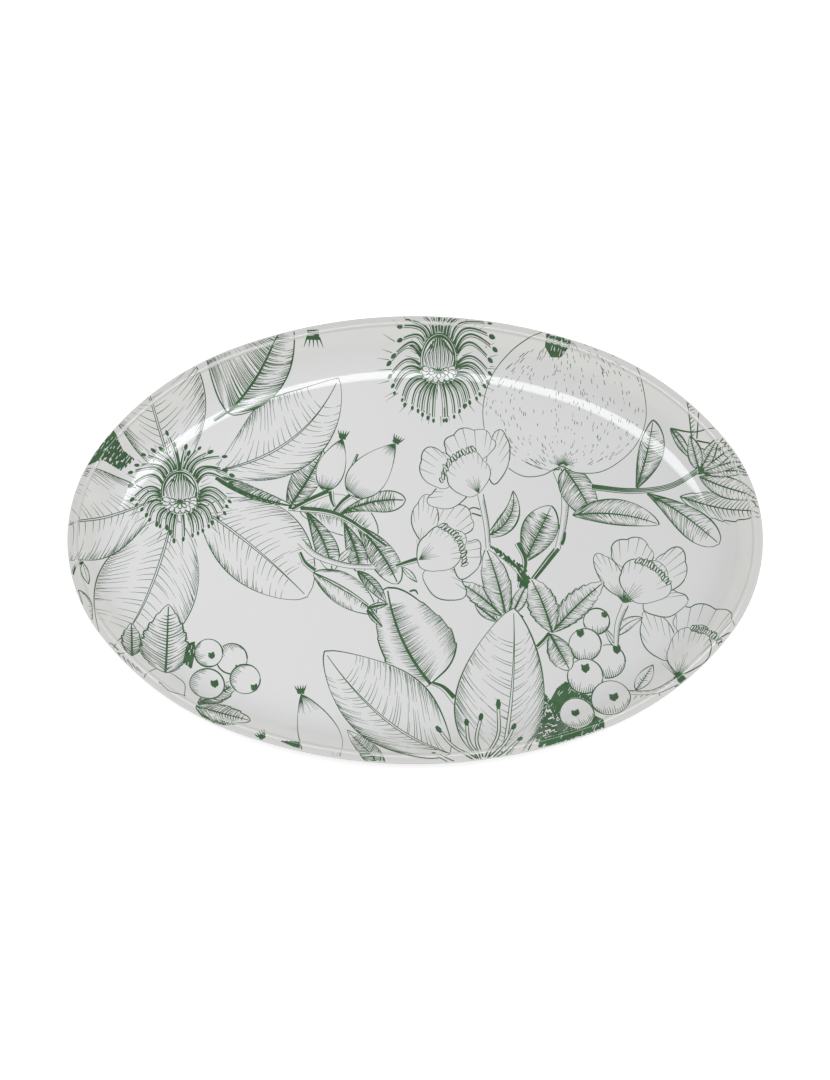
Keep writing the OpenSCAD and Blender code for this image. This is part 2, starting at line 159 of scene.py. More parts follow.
@dataclass(frozen=True)
class Section:
    """The wall's section, as inset from the outline and height above the table.

    Attributes:
        height: the lip's crest.
        depth: from the crest down to the well.
        wall: thickness of the wall and the floor.
        slope: how steeply the wall rises.
        well_radius: radius of the hollow curve between the wall and the well.
        lip_width: inset of the lip's crest.
        lip_fall: how steeply the lip slopes outwards.
        lip_inner: radius of the lip's inner edge.
        lip_outer: radius of its upper outer edge.
        lip_under: radius of its lower outer edge.
        foot_inset: inset of the foot ring's outer face.
        foot_width: width of the foot ring where it stands.
        foot_taper: how far each side of the ring slopes.
        glaze: thickness of the glaze.
        dry_foot: height at which the glaze stops on the foot.
        core: inset at which a flat middle takes over from the loft.
    """

    height: float = 25.8
    depth: float = 18.6
    wall: float = 4.6
    slope: float = math.radians(50)
    well_radius: float = 25.0
    lip_width: float = 3.6
    lip_fall: float = math.radians(22)
    lip_inner: float = 1.8
    lip_outer: float = 0.9
    lip_under: float = 1.2
    foot_inset: float = 33.0
    foot_width: float = 5.0
    foot_taper: float = 0.8
    glaze: float = 0.35
    dry_foot: float = 1.0
    core: float = 50.0

    # Points along each round, and the sine of the steepest lean that the print is laid at.
    OUTER, INNER, HOLLOW, UNDER, BACK = 9, 12, 30, 6, 18
    STEEPEST = 0.98

    @property
    def floor(self) -> float:
        """Height of the well."""
        return self.height - self.depth

    @property
    def tilt(self) -> float:
        """Direction of the wall's upper face in the section."""
        return math.pi / 2 - self.slope

    @property
    def lip_end(self) -> Point:
        """Where the lip's inner round meets the wall."""
        return (
            self.lip_width + self.lip_inner * math.cos(self.tilt),
            self.height - self.lip_inner + self.lip_inner * math.sin(self.tilt),
        )

    @property
    def well_centre(self) -> Point:
        """Centre of the hollow curve between the wall and the well."""
        x, z = self.lip_end
        fall = z - self.floor - self.well_radius * (1 - math.cos(self.slope))
        run = fall / math.tan(self.slope) + self.well_radius * math.sin(self.slope)
        return x + run, self.floor + self.well_radius

    @property
    def under_centre(self) -> Point:
        """Centre of the lip's lower round, which the wall's lower face touches."""
        x, z = self.lip_end
        line = x * math.cos(self.tilt) + z * math.sin(self.tilt) - self.wall
        top = (line + self.lip_under * (1 - math.cos(self.tilt))) / math.sin(self.tilt)
        return self.lip_under, top

    @property
    def outer_centre(self) -> Point:
        """Centre of the lip's upper outer round, which the lip's slope touches."""
        drop = (self.lip_width - self.lip_outer) * math.sin(self.lip_fall)
        gap = (self.lip_inner - self.lip_outer - drop) / math.cos(self.lip_fall)
        return self.lip_outer, self.height - self.lip_inner + gap

    @property
    def split(self) -> float:
        """Height at which the face's glaze meets the back's."""
        return (self.outer_centre[1] + self.under_centre[1]) / 2

    @staticmethod
    def arc(centre: Point, radius: float, start: float, stop: float, count: int) -> np.ndarray:
        """Points along an arc, both ends among them."""
        turn = np.linspace(start, stop, count)
        return np.stack([centre[0] + radius * np.cos(turn), centre[1] + radius * np.sin(turn)], 1)

    def face(self, sunk: float) -> np.ndarray:
        """Upper face from the outer edge to the well, sunk by a thickness."""
        half = math.pi / 2
        outwards = half + self.lip_fall
        return np.concatenate([
            [[sunk, self.split]],
            self.arc(self.outer_centre, self.lip_outer - sunk, math.pi, outwards, self.OUTER),
            self.arc((self.lip_width, self.height - self.lip_inner), self.lip_inner - sunk,
                     outwards, self.tilt, self.INNER),
            self.arc(self.well_centre, self.well_radius + sunk, math.pi + self.tilt,
                     3 * half, self.HOLLOW),
            [[self.core, self.floor - sunk]],
        ])

    def back(self, sunk: float) -> np.ndarray:
        """Lower face from the outer edge to the flat outside the foot, sunk by a thickness."""
        return np.concatenate([
            [[sunk, self.split]],
            self.arc(self.under_centre, self.lip_under - sunk, math.pi, math.pi + self.tilt,
                     self.UNDER),
            self.arc(self.well_centre, self.well_radius + self.wall - sunk,
                     math.pi + self.tilt, 3 * math.pi / 2, self.BACK),
        ])

    def foot(self, inner: bool, z: float) -> float:
        """Inset of one side of the foot ring at a height."""
        top = self.floor - self.wall + self.glaze
        way, side = (1, self.foot_width) if inner else (-1, 0)
        return self.foot_inset + side + way * self.foot_taper * z / top

    def lay(self, inset: np.ndarray) -> tuple[np.ndarray, np.ndarray]:
        """Height and tilt of the upper face at given insets.

        Piece by piece: the outer round, the lip's slope, the inner round, the straight wall, the
        hollow curve and the flat well. The tilt is positive where the face leans inwards.
        """
        wx, wz = self.well_centre
        lx, lz = self.lip_end
        ox, oz = self.outer_centre
        back = math.sin(self.lip_fall)
        outer = np.clip((ox - inset) / self.lip_outer, back, self.STEEPEST)
        inner = np.clip((inset - self.lip_width) / self.lip_inner, -back, math.sin(self.slope))
        hollow = np.clip((wx - inset) / self.well_radius, 0, math.sin(self.slope))
        crest = self.lip_width - self.lip_inner * back
        z = self.height - self.lip_inner * (1 - np.sqrt(1 - inner**2))
        z -= np.maximum(crest - inset, 0) * math.tan(self.lip_fall)
        lean = np.arcsin(inner)
        edge = inset < ox - self.lip_outer * back
        z = np.where(edge, oz + self.lip_outer * np.sqrt(1 - outer**2), z)
        lean = np.where(edge, -np.arcsin(outer), lean)
        wall = inset > lx
        z = np.where(wall, lz - (inset - lx) * math.tan(self.slope), z)
        lean = np.where(wall, self.slope, lean)
        bowl = inset > wx - self.well_radius * math.sin(self.slope)
        z = np.where(bowl, wz - self.well_radius * np.sqrt(1 - hollow**2), z)
        lean = np.where(bowl, np.arcsin(hollow), lean)
        return z, lean


class Ware:
    """Lofts closed coats round the oval and tells where the face lies under any point."""

    def __init__(self, oval: Oval, section: Section, stations: int = 720) -> None:
        """Keeps the outline, the section and the number of stations of each loft."""
        self.oval, self.section, self.stations = oval, section, stations

    def face_at(self, spots: np.ndarray) -> tuple[np.ndarray, np.ndarray]:
        """Lays plan points on the upper face.

        Args:
            spots: points of the plan, one a row.

        Returns:
            The points in space, and the face's unit normals there.
        """
        inset, out = self.oval.inset(spots)
        z, lean = self.section.lay(inset)
        normal = np.concatenate([-out * np.sin(lean)[:, None], np.cos(lean)[:, None]], axis=1)
        return np.concatenate([spots, z[:, None]], axis=1), normal

    def loft(self, name: str, section: np.ndarray, caps: tuple[int, ...] = ()) -> bpy.types.Object:
        """Carries a closed section round the oval.

        Args:
            name: the piece's name.
            section: corners in order, each an inset and a height.
            caps: indices of the corners whose rings are closed with a flat middle; the ring
                between the first and the last of them is left out.

        Returns:
            The new piece.
        """
        nxt_x, nxt_z = np.roll(section, -1, axis=0).T
        if (section[:, 0] * nxt_z - nxt_x * section[:, 1]).sum() < 0:
            section = section[::-1]
            caps = tuple(len(section) - 1 - c for c in reversed(caps))
        centre, radius, out = self.oval.ring(self.stations)
        reach = radius[None, :] - section[:, 0][:, None]
        xy = centre[None] + reach[..., None] * out[None]
        z = np.broadcast_to(section[:, 1][:, None, None], (*reach.shape, 1))
        verts = np.concatenate([xy, z], axis=2).reshape(-1, 3)
        rows, cols = reach.shape
        start = np.arange(rows)
        stop = (start + 1) % rows
        if caps:
            keep = ~((start == caps[0]) & (stop == caps[1]))
            start, stop = start[keep], stop[keep]
        col = np.arange(cols)
        nxt = (col + 1) % cols
        a = start[:, None] * cols + col
        b = stop[:, None] * cols + col
        c = stop[:, None] * cols + nxt
        d = start[:, None] * cols + nxt
        faces = [tuple(q) for q in np.stack([a, b, c, d], axis=2).reshape(-1, 4).tolist()]
        if caps:
            faces.append(tuple((caps[0] * cols + col[::-1]).tolist()))
            faces.append(tuple((caps[1] * cols + col).tolist()))
        return Maker.solid(name, verts, faces)


class Maker:
    """Turns arrays in millimetres into Blender pieces in metres."""

    @staticmethod
    def show(name: str, mesh: bpy.types.Mesh) -> bpy.types.Object:
        """Puts a mesh in the scene as a piece at the origin."""
        piece = bpy.data.objects.new(name, mesh)
        bpy.context.scene.collection.objects.link(piece)
        return piece

    @staticmethod
    def solid(name: str, verts: np.ndarray, faces: list[tuple[int, ...]]) -> bpy.types.Object:
        """Makes a smooth piece whose closed faces look outwards."""
        mesh = bpy.data.meshes.new(name)
        mesh.from_pydata((verts * MM).tolist(), [], faces)
        mesh.update()
        mesh.shade_smooth()
        return Maker.show(name, mesh)

    @staticmethod
    def quads(name: str, verts: np.ndarray, quads: np.ndarray,
              normals: np.ndarray) -> bpy.types.Object:
        """Makes a piece from whole arrays of corners, four-sided faces and set normals."""
        mesh = bpy.data.meshes.new(name)
        mesh.vertices.add(len(verts))
        mesh.vertices.foreach_set("co", (verts * MM).astype(np.float32).ravel())
        mesh.loops.add(quads.size)
        mesh.loops.foreach_set("vertex_index", quads.astype(np.int32).ravel())
        mesh.polygons.add(len(quads))
        mesh.polygons.foreach_set("loop_start", np.arange(0, quads.size, 4, dtype=np.int32))
        mesh.update(calc_edges=True)
        mesh.validate()
        mesh.shade_smooth()
        mesh.normals_split_custom_set_from_vertices(normals.tolist())
        return Maker.show(name, mesh)


# ---------------------------------------------------------------- finishes

GLASS = 1.62


class Value:
    """A number or vector socket that can be used in plain arithmetic.

    Attributes:
        tree: the node tree that the sums are made in.
        socket: the output that this value stands for.
    """

    def __init__(self, tree: bpy.types.NodeTree, socket: bpy.types.NodeSocket) -> None:
        """Wraps an output socket."""
        self.tree, self.socket = tree, socket

    def _sum(self, kind: str, left: object, right: object) -> Value:
        """Adds a Math node on two items, each a Value or a number."""
        node = self.tree.nodes.new("ShaderNodeMath")
        node.operation = kind
        for slot, item in zip(node.inputs, (left, right)):
            if isinstance(item, Value):
                self.tree.links.new(item.socket, slot)
            else:
                slot.default_value = float(item)
        return Value(self.tree, node.outputs[0])

    def __add__(self, other: object) -> Value:
        """Self plus other."""
        return self._sum("ADD", self, other)

    def __radd__(self, other: object) -> Value:
        """Other plus self."""
        return self._sum("ADD", other, self)

    def __sub__(self, other: object) -> Value:
        """Self less other."""
        return self._sum("SUBTRACT", self, other)

    def __rsub__(self, other: object) -> Value:
        """Other less self."""
        return self._sum("SUBTRACT", other, self)

    def __mul__(self, other: object) -> Value:
        """Self times other."""
        return self._sum("MULTIPLY", self, other)

    def __rmul__(self, other: object) -> Value:
        """Other times self."""
        return self._sum("MULTIPLY", other, self)

    def above(self, edge: float, soft: float) -> Value:
        """Goes from 0 to 1 as the value passes an edge, over a soft width."""
        node = self.tree.nodes.new("ShaderNodeMapRange")
        node.interpolation_type = "SMOOTHSTEP"
        self.tree.links.new(self.socket, node.inputs["Value"])
        node.inputs["From Min"].default_value = edge - soft
        node.inputs["From Max"].default_value = edge + soft
        return Value(self.tree, node.outputs["Result"])


class Recipe:
    """A material under construction, with one Principled shader."""

    def __init__(self, name: str) -> None:
        """Starts an empty material."""
        self.material = bpy.data.materials.new(name)
        self.material.use_nodes = True
        self.tree = self.material.node_tree
        self.tree.nodes.clear()
        self.shader = self.tree.nodes.new("ShaderNodeBsdfPrincipled")
        output = self.tree.nodes.new("ShaderNodeOutputMaterial")
        self.tree.links.new(self.shader.outputs[0], output.inputs["Surface"])
        self.place = self.add("ShaderNodeTexCoord").outputs["Object"]

    def add(self, kind: str, settings: dict[str, object] | None = None,
            **values: object) -> bpy.types.Node:
        """Adds a node.

        Args:
            kind: the node's type.
            settings: properties of the node itself.
            values: what goes into its sockets, by name with _ for spaces: a number, a colour,
                a socket or a Value.

        Returns:
            The node.
        """
        node = self.tree.nodes.new(kind)
        for key, item in (settings or {}).items():
            setattr(node, key, item)
        for key, item in values.items():
            self.feed(node.inputs[key.replace("_", " ")], item)
        return node

    def feed(self, slot: bpy.types.NodeSocket, item: object) -> None:
        """Links a socket or Value into a slot, or sets the slot's own number."""
        if isinstance(item, Value):
            self.tree.links.new(item.socket, slot)
        elif isinstance(item, bpy.types.NodeSocket):
            self.tree.links.new(item, slot)
        else:
            slot.default_value = item

    def set(self, **values: object) -> None:
        """Feeds the shader's own sockets, by name with _ for spaces."""
        for key, item in values.items():
            self.feed(self.shader.inputs[key.replace("_", " ")], item)

    def noise(self, scale: float, detail: float = 2.0, rough: float = 0.5) -> Value:
        """Cloudy pattern over the object, from about 0 to 1, with a scale per metre."""
        node = self.add("ShaderNodeTexNoise", Vector=self.place, Scale=scale, Detail=detail,
                        Roughness=rough)
        return Value(self.tree, node.outputs[0])

    def blend(self, share: Value, low: Colour | bpy.types.NodeSocket,
              high: Colour) -> bpy.types.NodeSocket:
        """Mixes two colours, of which the low one may be a socket, by a share."""
        node = self.add("ShaderNodeMix", {"data_type": "RGBA"})
        self.feed(node.inputs[0], share)
        self.feed(node.inputs[6], (*low, 1) if isinstance(low, tuple) else low)
        self.feed(node.inputs[7], (*high, 1))
        return node.outputs[2]

    def bumps(self, height: Value, strength: float, distance: float) -> bpy.types.NodeSocket:
        """Turns a height into a surface normal."""
        node = self.add("ShaderNodeBump", Height=height, Strength=strength, Distance=distance)
        return node.outputs["Normal"]


@dataclass(frozen=True)
class Glaze:
    """Clear glossy glaze over off-white ware.

    Attributes:
        near_end: colour in the well towards the left end, the lighter end of a painted shade.
        shaded_end: darker, warmer colour towards the right end: painted shade across the well,
            darkest there.
        wall: lighter, warmer colour on the sloping wall; its extra lightness is painted light that
            offsets the wall's shade.
        dark: colour of the specks, and the grey that the lip's painted shade tends to.
        shift: X at which the near tone gives way to the painted shade of the far one, and half the
            way it takes.
        wall_light_from: height at which the wall's tone and its painted light set in, and half the
            way it takes.
        lip_shade_from: the same for the painted shade over the lip.
        lip: how much darker the top of the lip is painted, a painted shade there.
        ripple: height of its faint orange-peel, in metres.
        gloss: its least roughness.
    """

    # Painted shade: the well's colour darkens from the left end towards the darker colour at the
    # right end.
    near_end: Colour = (0.672, 0.664, 0.668)
    shaded_end: Colour = (0.590, 0.585, 0.582)
    # Painted light: the wall's colour is lighter than the well's.
    wall: Colour = (0.700, 0.690, 0.668)
    dark: Colour = (0.20, 0.20, 0.20)
    shift: Point = (0.03, 0.16)
    wall_light_from: Point = (0.014, 0.005)
    # Painted shade: above this height the lip is greyed towards dark.
    lip_shade_from: Point = (0.0246, 0.0005)
    lip: float = 0.24
    ripple: float = 0.00005
    gloss: float = 0.045

    def make(self) -> bpy.types.Material:
        """Builds the material."""
        recipe = Recipe("clear_glaze")
        axes = recipe.add("ShaderNodeSeparateXYZ", Vector=recipe.place)
        across = Value(recipe.tree, axes.outputs[0])
        height = Value(recipe.tree, axes.outputs[2])
        cloud = recipe.noise(14, 3) * 0.3 + 0.85
        speck = recipe.noise(900, 1).above(0.80, 0.02) * 0.10
        peel = recipe.noise(60, 2) * 0.8 + recipe.noise(260, 1) * 0.2
        # Painted shade: the well darkens towards the right end.
        well = recipe.blend(across.above(*self.shift), self.near_end, self.shaded_end)
        # Painted light: the wall, above its set height, is lightened.
        tone = recipe.blend(height.above(*self.wall_light_from) * cloud, well, self.wall)
        # Real dark specks, plus painted shade that greys the top of the lip.
        specks_and_lip_shade = speck + height.above(*self.lip_shade_from) * self.lip
        recipe.set(
            Base_Color=recipe.blend(specks_and_lip_shade, tone, self.dark),
            Roughness=recipe.noise(30, 2) * 0.03 + self.gloss,
            IOR=GLASS,
            Normal=recipe.bumps(peel, 0.2, self.ripple),
        )
        return recipe.material


@dataclass(frozen=True)
class Bisque:
    """Dry fired clay, which shows only where the foot ring stands."""

    light: Colour = (0.62, 0.57, 0.49)
    dark: Colour = (0.50, 0.45, 0.38)

    def make(self) -> bpy.types.Material:
        """Builds the material."""
        recipe = Recipe("dry_clay")
        grain = recipe.noise(1500, 4, 0.7)
        mottle = (grain * 0.6 + recipe.noise(40, 3) * 0.4).above(0.5, 0.2)
        recipe.set(
            Base_Color=recipe.blend(mottle, self.dark, self.light),
            Roughness=grain * 0.15 + 0.75,
            Normal=recipe.bumps(grain, 0.5, 0.0001),
        )
        return recipe.material


@dataclass(frozen=True)
class Ink:
    """Dark green ceramic colour that lies under the gloss.

    Attributes:
        full: colour where the transfer printed solid.
        thin: paler colour where it printed thin.
    """

    full: Colour = (0.018, 0.080, 0.020)
    thin: Colour = (0.040, 0.118, 0.042)

    def make(self) -> bpy.types.Material:
        """Builds the material."""
        recipe = Recipe("green_print")
        patchy = (recipe.noise(160, 3) * 0.6 + recipe.noise(2600, 2) * 0.4).above(0.54, 0.1)
        recipe.set(
            Base_Color=recipe.blend(patchy, self.full, self.thin),
            Roughness=recipe.noise(30, 2) * 0.03 + 0.05,
            IOR=GLASS,
        )
        return recipe.material


# ---------------------------------------------------------------- drawing the print

def fork(points: object) -> np.ndarray:
    """Reads a list of plan points as an array of rows."""
    return np.asarray(points, dtype=float).reshape(-1, 2)


def ray(turn: float) -> np.ndarray:
    """Points one millimetre along a direction in degrees."""
    return np.array([math.cos(math.radians(turn)), math.sin(math.radians(turn))])


def left_of(way: np.ndarray) -> np.ndarray:
    """Turns directions, one or one a row, a quarter to the left."""
    return np.stack([-way[..., 1], way[..., 0]], axis=-1)


def spans(mask: np.ndarray) -> np.ndarray:
    """Lists the first index and the one past the last of each run of true entries."""
    steps = np.diff(np.concatenate([[0], mask.astype(int), [0]]))
    return np.flatnonzero(steps).reshape(-1, 2)


def band(path: np.ndarray, half: np.ndarray) -> np.ndarray:
    """Outlines a strip: out along one side of a path and back along the other."""
    return np.concatenate([path + half, (path - half)[::-1]])


def curve(points: object, count: int = 40) -> np.ndarray:
    """Runs one smooth curve through plan points.

    A Catmull-Rom curve: each stretch leaves and arrives along the chord of its neighbours.

    Args:
        points: two or more points.
        count: number of points on the curve.

    Returns:
        The curve's points.
    """
    knots = fork(points)
    ends = np.concatenate([[2 * knots[0] - knots[1]], knots, [2 * knots[-1] - knots[-2]]])
    at = np.linspace(0, len(knots) - 1 - TINY, count)
    i = at.astype(int)
    t = (at - i)[:, None]
    a, b, c, d = ends[i], ends[i + 1], ends[i + 2], ends[i + 3]
    return 0.5 * (2 * b + (c - a) * t + (2 * a - 5 * b + 4 * c - d) * t**2
                  + (3 * b - a - 3 * c + d) * t**3)


def inside(spots: np.ndarray, outline: np.ndarray) -> np.ndarray:
    """Tells which points lie in a closed outline, by counting the edges to their right."""
    x, y = spots[:, :1], spots[:, 1:]
    x1, y1 = outline.T
    x2, y2 = np.roll(x1, -1), np.roll(y1, -1)
    across = (y1 > y) != (y2 > y)
    rise = np.where(y2 == y1, 1.0, y2 - y1)
    return (across & (x < (x2 - x1) * (y - y1) / rise + x1)).sum(axis=1) % 2 == 1


class Shape(Protocol):
    """Anything that a sheet can draw."""

    def draw(self, sheet: Sheet) -> None:
        """Draws the shape and covers what lies behind it."""


class Sheet:
    """The transfer: lines are drawn from front to back, and each shape hides what is behind.

    Attributes:
        ware: the platter that the sheet is laid on.
        rng: seeded source of the hand's small unevenness.
        covers: outlines that hide what is drawn later, each with its lowest and highest corner.
        runs: for each piece the visible stretches of its lines, as points and widths.
        piece: the piece that is being drawn.
    """

    # Distance between a line's stations, its least length, how near the rim it may come, and
    # the distance between the spots at which a filling stroke looks for the outline.
    STEP, LEAST, RIM, SCAN = 0.9, 0.4, 0.3, 0.25
    # Height of a ribbon's left, top, right and bottom corners over the glaze.
    PROUD = (0.010, 0.028, 0.010, -0.050)

    def __init__(self, ware: Ware, seed: int = 7) -> None:
        """Starts an empty sheet."""
        self.ware = ware
        self.rng = np.random.default_rng(seed)
        self.covers: list[tuple[np.ndarray, np.ndarray, np.ndarray]] = []
        self.runs: dict[str, list[tuple[np.ndarray, np.ndarray]]] = {}
        self.piece = ""

    def begin(self, piece: str) -> None:
        """Names the piece that the next lines belong to."""
        self.piece = piece
        self.runs.setdefault(piece, [])

    def draw(self, *shapes: Shape) -> None:
        """Draws shapes from front to back."""
        for shape in shapes:
            shape.draw(self)

    def cover(self, outline: np.ndarray) -> None:
        """Hides everything drawn later inside an outline."""
        self.covers.append((outline.min(axis=0), outline.max(axis=0), outline))

    def line(self, points: object, widths: object = 0.35) -> None:
        """Draws one line where nothing in front hides it.

        Args:
            points: the line's points.
            widths: one width, or widths spread evenly from its start to its end.
        """
        path = fork(points)
        steps = np.hypot(*np.diff(path, axis=0).T)
        far = np.concatenate([[0], np.cumsum(steps)])
        if far[-1] < self.LEAST:
            return
        count = max(int(far[-1] / self.STEP) + 2, 5)
        at = np.linspace(0, far[-1], count)
        path = np.stack([np.interp(at, far, path[:, 0]), np.interp(at, far, path[:, 1])], 1)
        widths = np.atleast_1d(widths).astype(float)
        wide = np.interp(at / far[-1], np.linspace(0, 1, len(widths)), widths)
        shown = self.ware.oval.inset(path)[0] > self.RIM
        low, high = path.min(axis=0), path.max(axis=0)
        for c_low, c_high, outline in self.covers:
            if (c_low < high).all() and (c_high > low).all():
                shown &= ~inside(path, outline)
        for start, stop in spans(shown):
            if stop - start > 1:
                self.runs[self.piece].append((path[start:stop], wide[start:stop]))

    def shape(self, outline: np.ndarray, width: float = 0.35) -> None:
        """Draws a closed outline with a slightly uneven pen."""
        closed = np.concatenate([outline, outline[:1]])
        swell = 1 + 0.35 * np.sin(np.linspace(0, 9, 24) + self.rng.uniform(0, 6))
        self.line(closed, width * swell)

    def fill(self, outline: object, pitch: float = 0.55, lean: float = 40.0,
             gaps: float = 0.0) -> None:
        """Fills an outline with close parallel strokes.

        Args:
            outline: corners of the shape.
            pitch: distance from stroke to stroke.
            lean: direction of the strokes, in degrees.
            gaps: number of short blank scratches along each two millimetres of a stroke.
        """
        edge = fork(outline)
        way = ray(lean)
        side = left_of(way)
        along, across = edge @ way, edge @ side
        spread = np.arange(along.min(), along.max(), self.SCAN)
        for offset in np.arange(across.min() + pitch / 2, across.max(), pitch):
            spots = spread[:, None] * way + offset * side
            mine = inside(spots, edge)
            for _ in range(self.rng.poisson(gaps * len(spread) * self.SCAN / 2.0)):
                at = self.rng.integers(len(spread))
                mine[at:at + self.rng.integers(3, 9)] = False
            for start, stop in spans(mine):
                if stop - start > 2:
                    self.line(spots[start:stop], pitch * 1.4)

    def pressed(self, piece: str) -> tuple[np.ndarray, np.ndarray, np.ndarray]:
        """Lays one piece's lines on the glaze as thin closed ribbons.

        Each station has four corners, left, top, right and bottom, a hair above and below the
        face along its normal. Four quads join a station to the next, and one closes each end.

        Returns:
            Corners, quads and the face's normals at the corners.
        """
        runs = self.runs[piece]
        path = np.concatenate([r[0] for r in runs])
        wide = np.concatenate([r[1] for r in runs])
        way = np.concatenate([np.gradient(r[0], axis=0) for r in runs])
        way /= np.maximum(np.hypot(*way.T), TINY)[:, None]
        side = left_of(way) * wide[:, None] / 2
        spots, normals = [], []
        for push, proud in zip((1, 0, -1, 0), self.PROUD):
            spot, normal = self.ware.face_at(path + push * side)
            spots.append(spot + normal * proud)
            normals.append(normal if proud > 0 else -normal)
        verts = np.stack(spots, axis=1).reshape(-1, 3)
        sizes = np.array([len(r[0]) for r in runs])
        last = np.cumsum(sizes) - 1
        first = last - sizes + 1
        start = np.setdiff1d(np.arange(len(path)), last) * 4
        bands = [np.stack([start + k, start + (k + 1) % 4, start + 4 + (k + 1) % 4,
                           start + 4 + k], axis=1) for k in range(4)]
        fronts = first[:, None] * 4 + np.array([0, 3, 2, 1])
        backs = last[:, None] * 4 + np.array([0, 1, 2, 3])
        quads = np.concatenate([*bands, fronts, backs])
        return verts, quads, np.stack(normals, axis=1).reshape(-1, 3)


class Hatch(Enum):
    """Where a leaf's shading strokes start."""

    NONE = 0
    EDGE = 1
    RIB = 2
    BOTH = 3


@dataclass(frozen=True)
class Blade:
    """A leaf or petal: two bulging edges on a bowed midrib.

    Attributes:
        base: where the midrib starts.
        tip: where it ends.
        left: half width on the left of the way to the tip.
        right: half width on the right.
        bend: how far the midrib bows to the left.
        belly: where along it the blade is widest, from 0 to 1.
        sharp: above 1 for pointed ends, below 1 for blunt ones.
        teeth: number of teeth on each edge.
        bite: depth of the teeth as a share of the half width.
        hatch: where the shading starts.
        strokes: shading strokes on each side.
        reach: how far they go, as a share of the half width.
        slant: how far they run on towards the tip.
        veins: side veins on each side.
        rib: width of the midrib at its base.
        twin: whether the midrib is two lines.
        pen: width of the outline.
        weight: how heavy the shading strokes are.
    """

    base: Point
    tip: Point
    left: float
    right: float
    bend: float = 0.0
    belly: float = 0.45
    sharp: float = 0.85
    teeth: int = 0
    bite: float = 0.0
    hatch: Hatch = Hatch.EDGE
    strokes: int = 16
    reach: float = 0.45
    slant: float = 0.16
    veins: int = 0
    rib: float = 0.6
    twin: bool = False
    pen: float = 0.42
    weight: float = 1.15

    # Shares of the midrib between which veins and both kinds of shading start.
    VEINED, EDGED, RIBBED = (0.05, 0.8), (0.06, 0.86), (0.03, 0.84)

    def place(self, t: np.ndarray, u: np.ndarray) -> np.ndarray:
        """Finds plan points from a share along the midrib and a share across, -1 to 1."""
        base, tip = fork(self.base)[0], fork(self.tip)[0]
        axis = tip - base
        side = left_of(axis) / np.hypot(*axis)
        t = np.clip(t, 0.0, 1.0)
        mid = base + t[:, None] * axis + (self.bend * 4 * t * (1 - t))[:, None] * side
        run = axis + (self.bend * 4 * (1 - 2 * t))[:, None] * side
        out = left_of(run) / np.hypot(*run.T)[:, None]
        power = math.log(0.5) / math.log(self.belly)
        bulge = np.sin(np.pi * t**power).clip(0, 1) ** self.sharp
        return mid + out * (u * bulge * np.where(u > 0, self.left, self.right))[:, None]

    def edge(self, side: int) -> np.ndarray:
        """One edge from base to tip."""
        t = np.linspace(0, 1, 41 + self.teeth * 8)
        saw = self.bite * (1 - (t * self.teeth) % 1) if self.teeth else 0 * t
        return self.place(t, side * (1 - saw))

    def strip(self, sheet: Sheet, side: int, t: float, inner: float, outer: float,
              widths: object) -> None:
        """Draws a stroke across the blade that bends towards the tip."""
        u = np.linspace(max(inner, 0.0), outer, 12)
        sheet.line(self.place(t + self.slant * u**1.4 * (1 - t), side * u),
                   np.multiply(widths, self.weight))

    def draw(self, sheet: Sheet) -> None:
        """Draws the blade and covers what lies behind it."""
        rng = sheet.rng
        for side in (1, -1):
            swell = 1 + 0.4 * np.sin(np.linspace(0, 8, 20) + rng.uniform(0, 6))
            sheet.line(self.edge(side), self.pen * swell)
            self._veins(sheet, side)
            if self.hatch in (Hatch.EDGE, Hatch.BOTH):
                spots = np.linspace(*self.EDGED, self.strokes)
                for t in spots + rng.normal(0, 0.008, self.strokes):
                    deep = self.reach * rng.uniform(0.4, 1.15)
                    self.strip(sheet, side, t - self.slant * 0.7, 1 - deep, 0.98,
                               (0.08, 0.2, 0.28))
            if self.hatch in (Hatch.RIB, Hatch.BOTH):
                spots = np.linspace(*self.RIBBED, self.strokes)
                for t in spots + rng.normal(0, 0.006, self.strokes):
                    self.strip(sheet, side, t, 0.02, self.reach * rng.uniform(0.5, 1.5),
                               (0.42, 0.26, 0.08))
        if self.rib:
            t = np.linspace(0.0, 0.97, 40)
            if self.twin:
                gap = self.rib / max(self.left + self.right, 1.0)
                for side in (1, -1):
                    sheet.line(self.place(t, side * gap * (1 - t)), (0.5, 0.42, 0.36))
            else:
                sheet.line(self.place(t, 0 * t), (self.rib, self.rib * 0.8, self.rib * 0.45))
        sheet.cover(np.concatenate([self.edge(1), self.edge(-1)[::-1]]))

    def _veins(self, sheet: Sheet, side: int) -> None:
        """Draws one side's veins, most of them with a break in the middle."""
        rng = sheet.rng
        for t in np.linspace(*self.VEINED, self.veins) + rng.normal(0, 0.01, self.veins):
            cut = rng.uniform(0.25, 0.6)
            self.strip(sheet, side, t, 0.04, cut, (0.3, 0.2, 0.1))
            if rng.uniform() < 0.8:
                self.strip(sheet, side, t, cut + rng.uniform(0.08, 0.2), 0.97, (0.1, 0.2, 0.22))


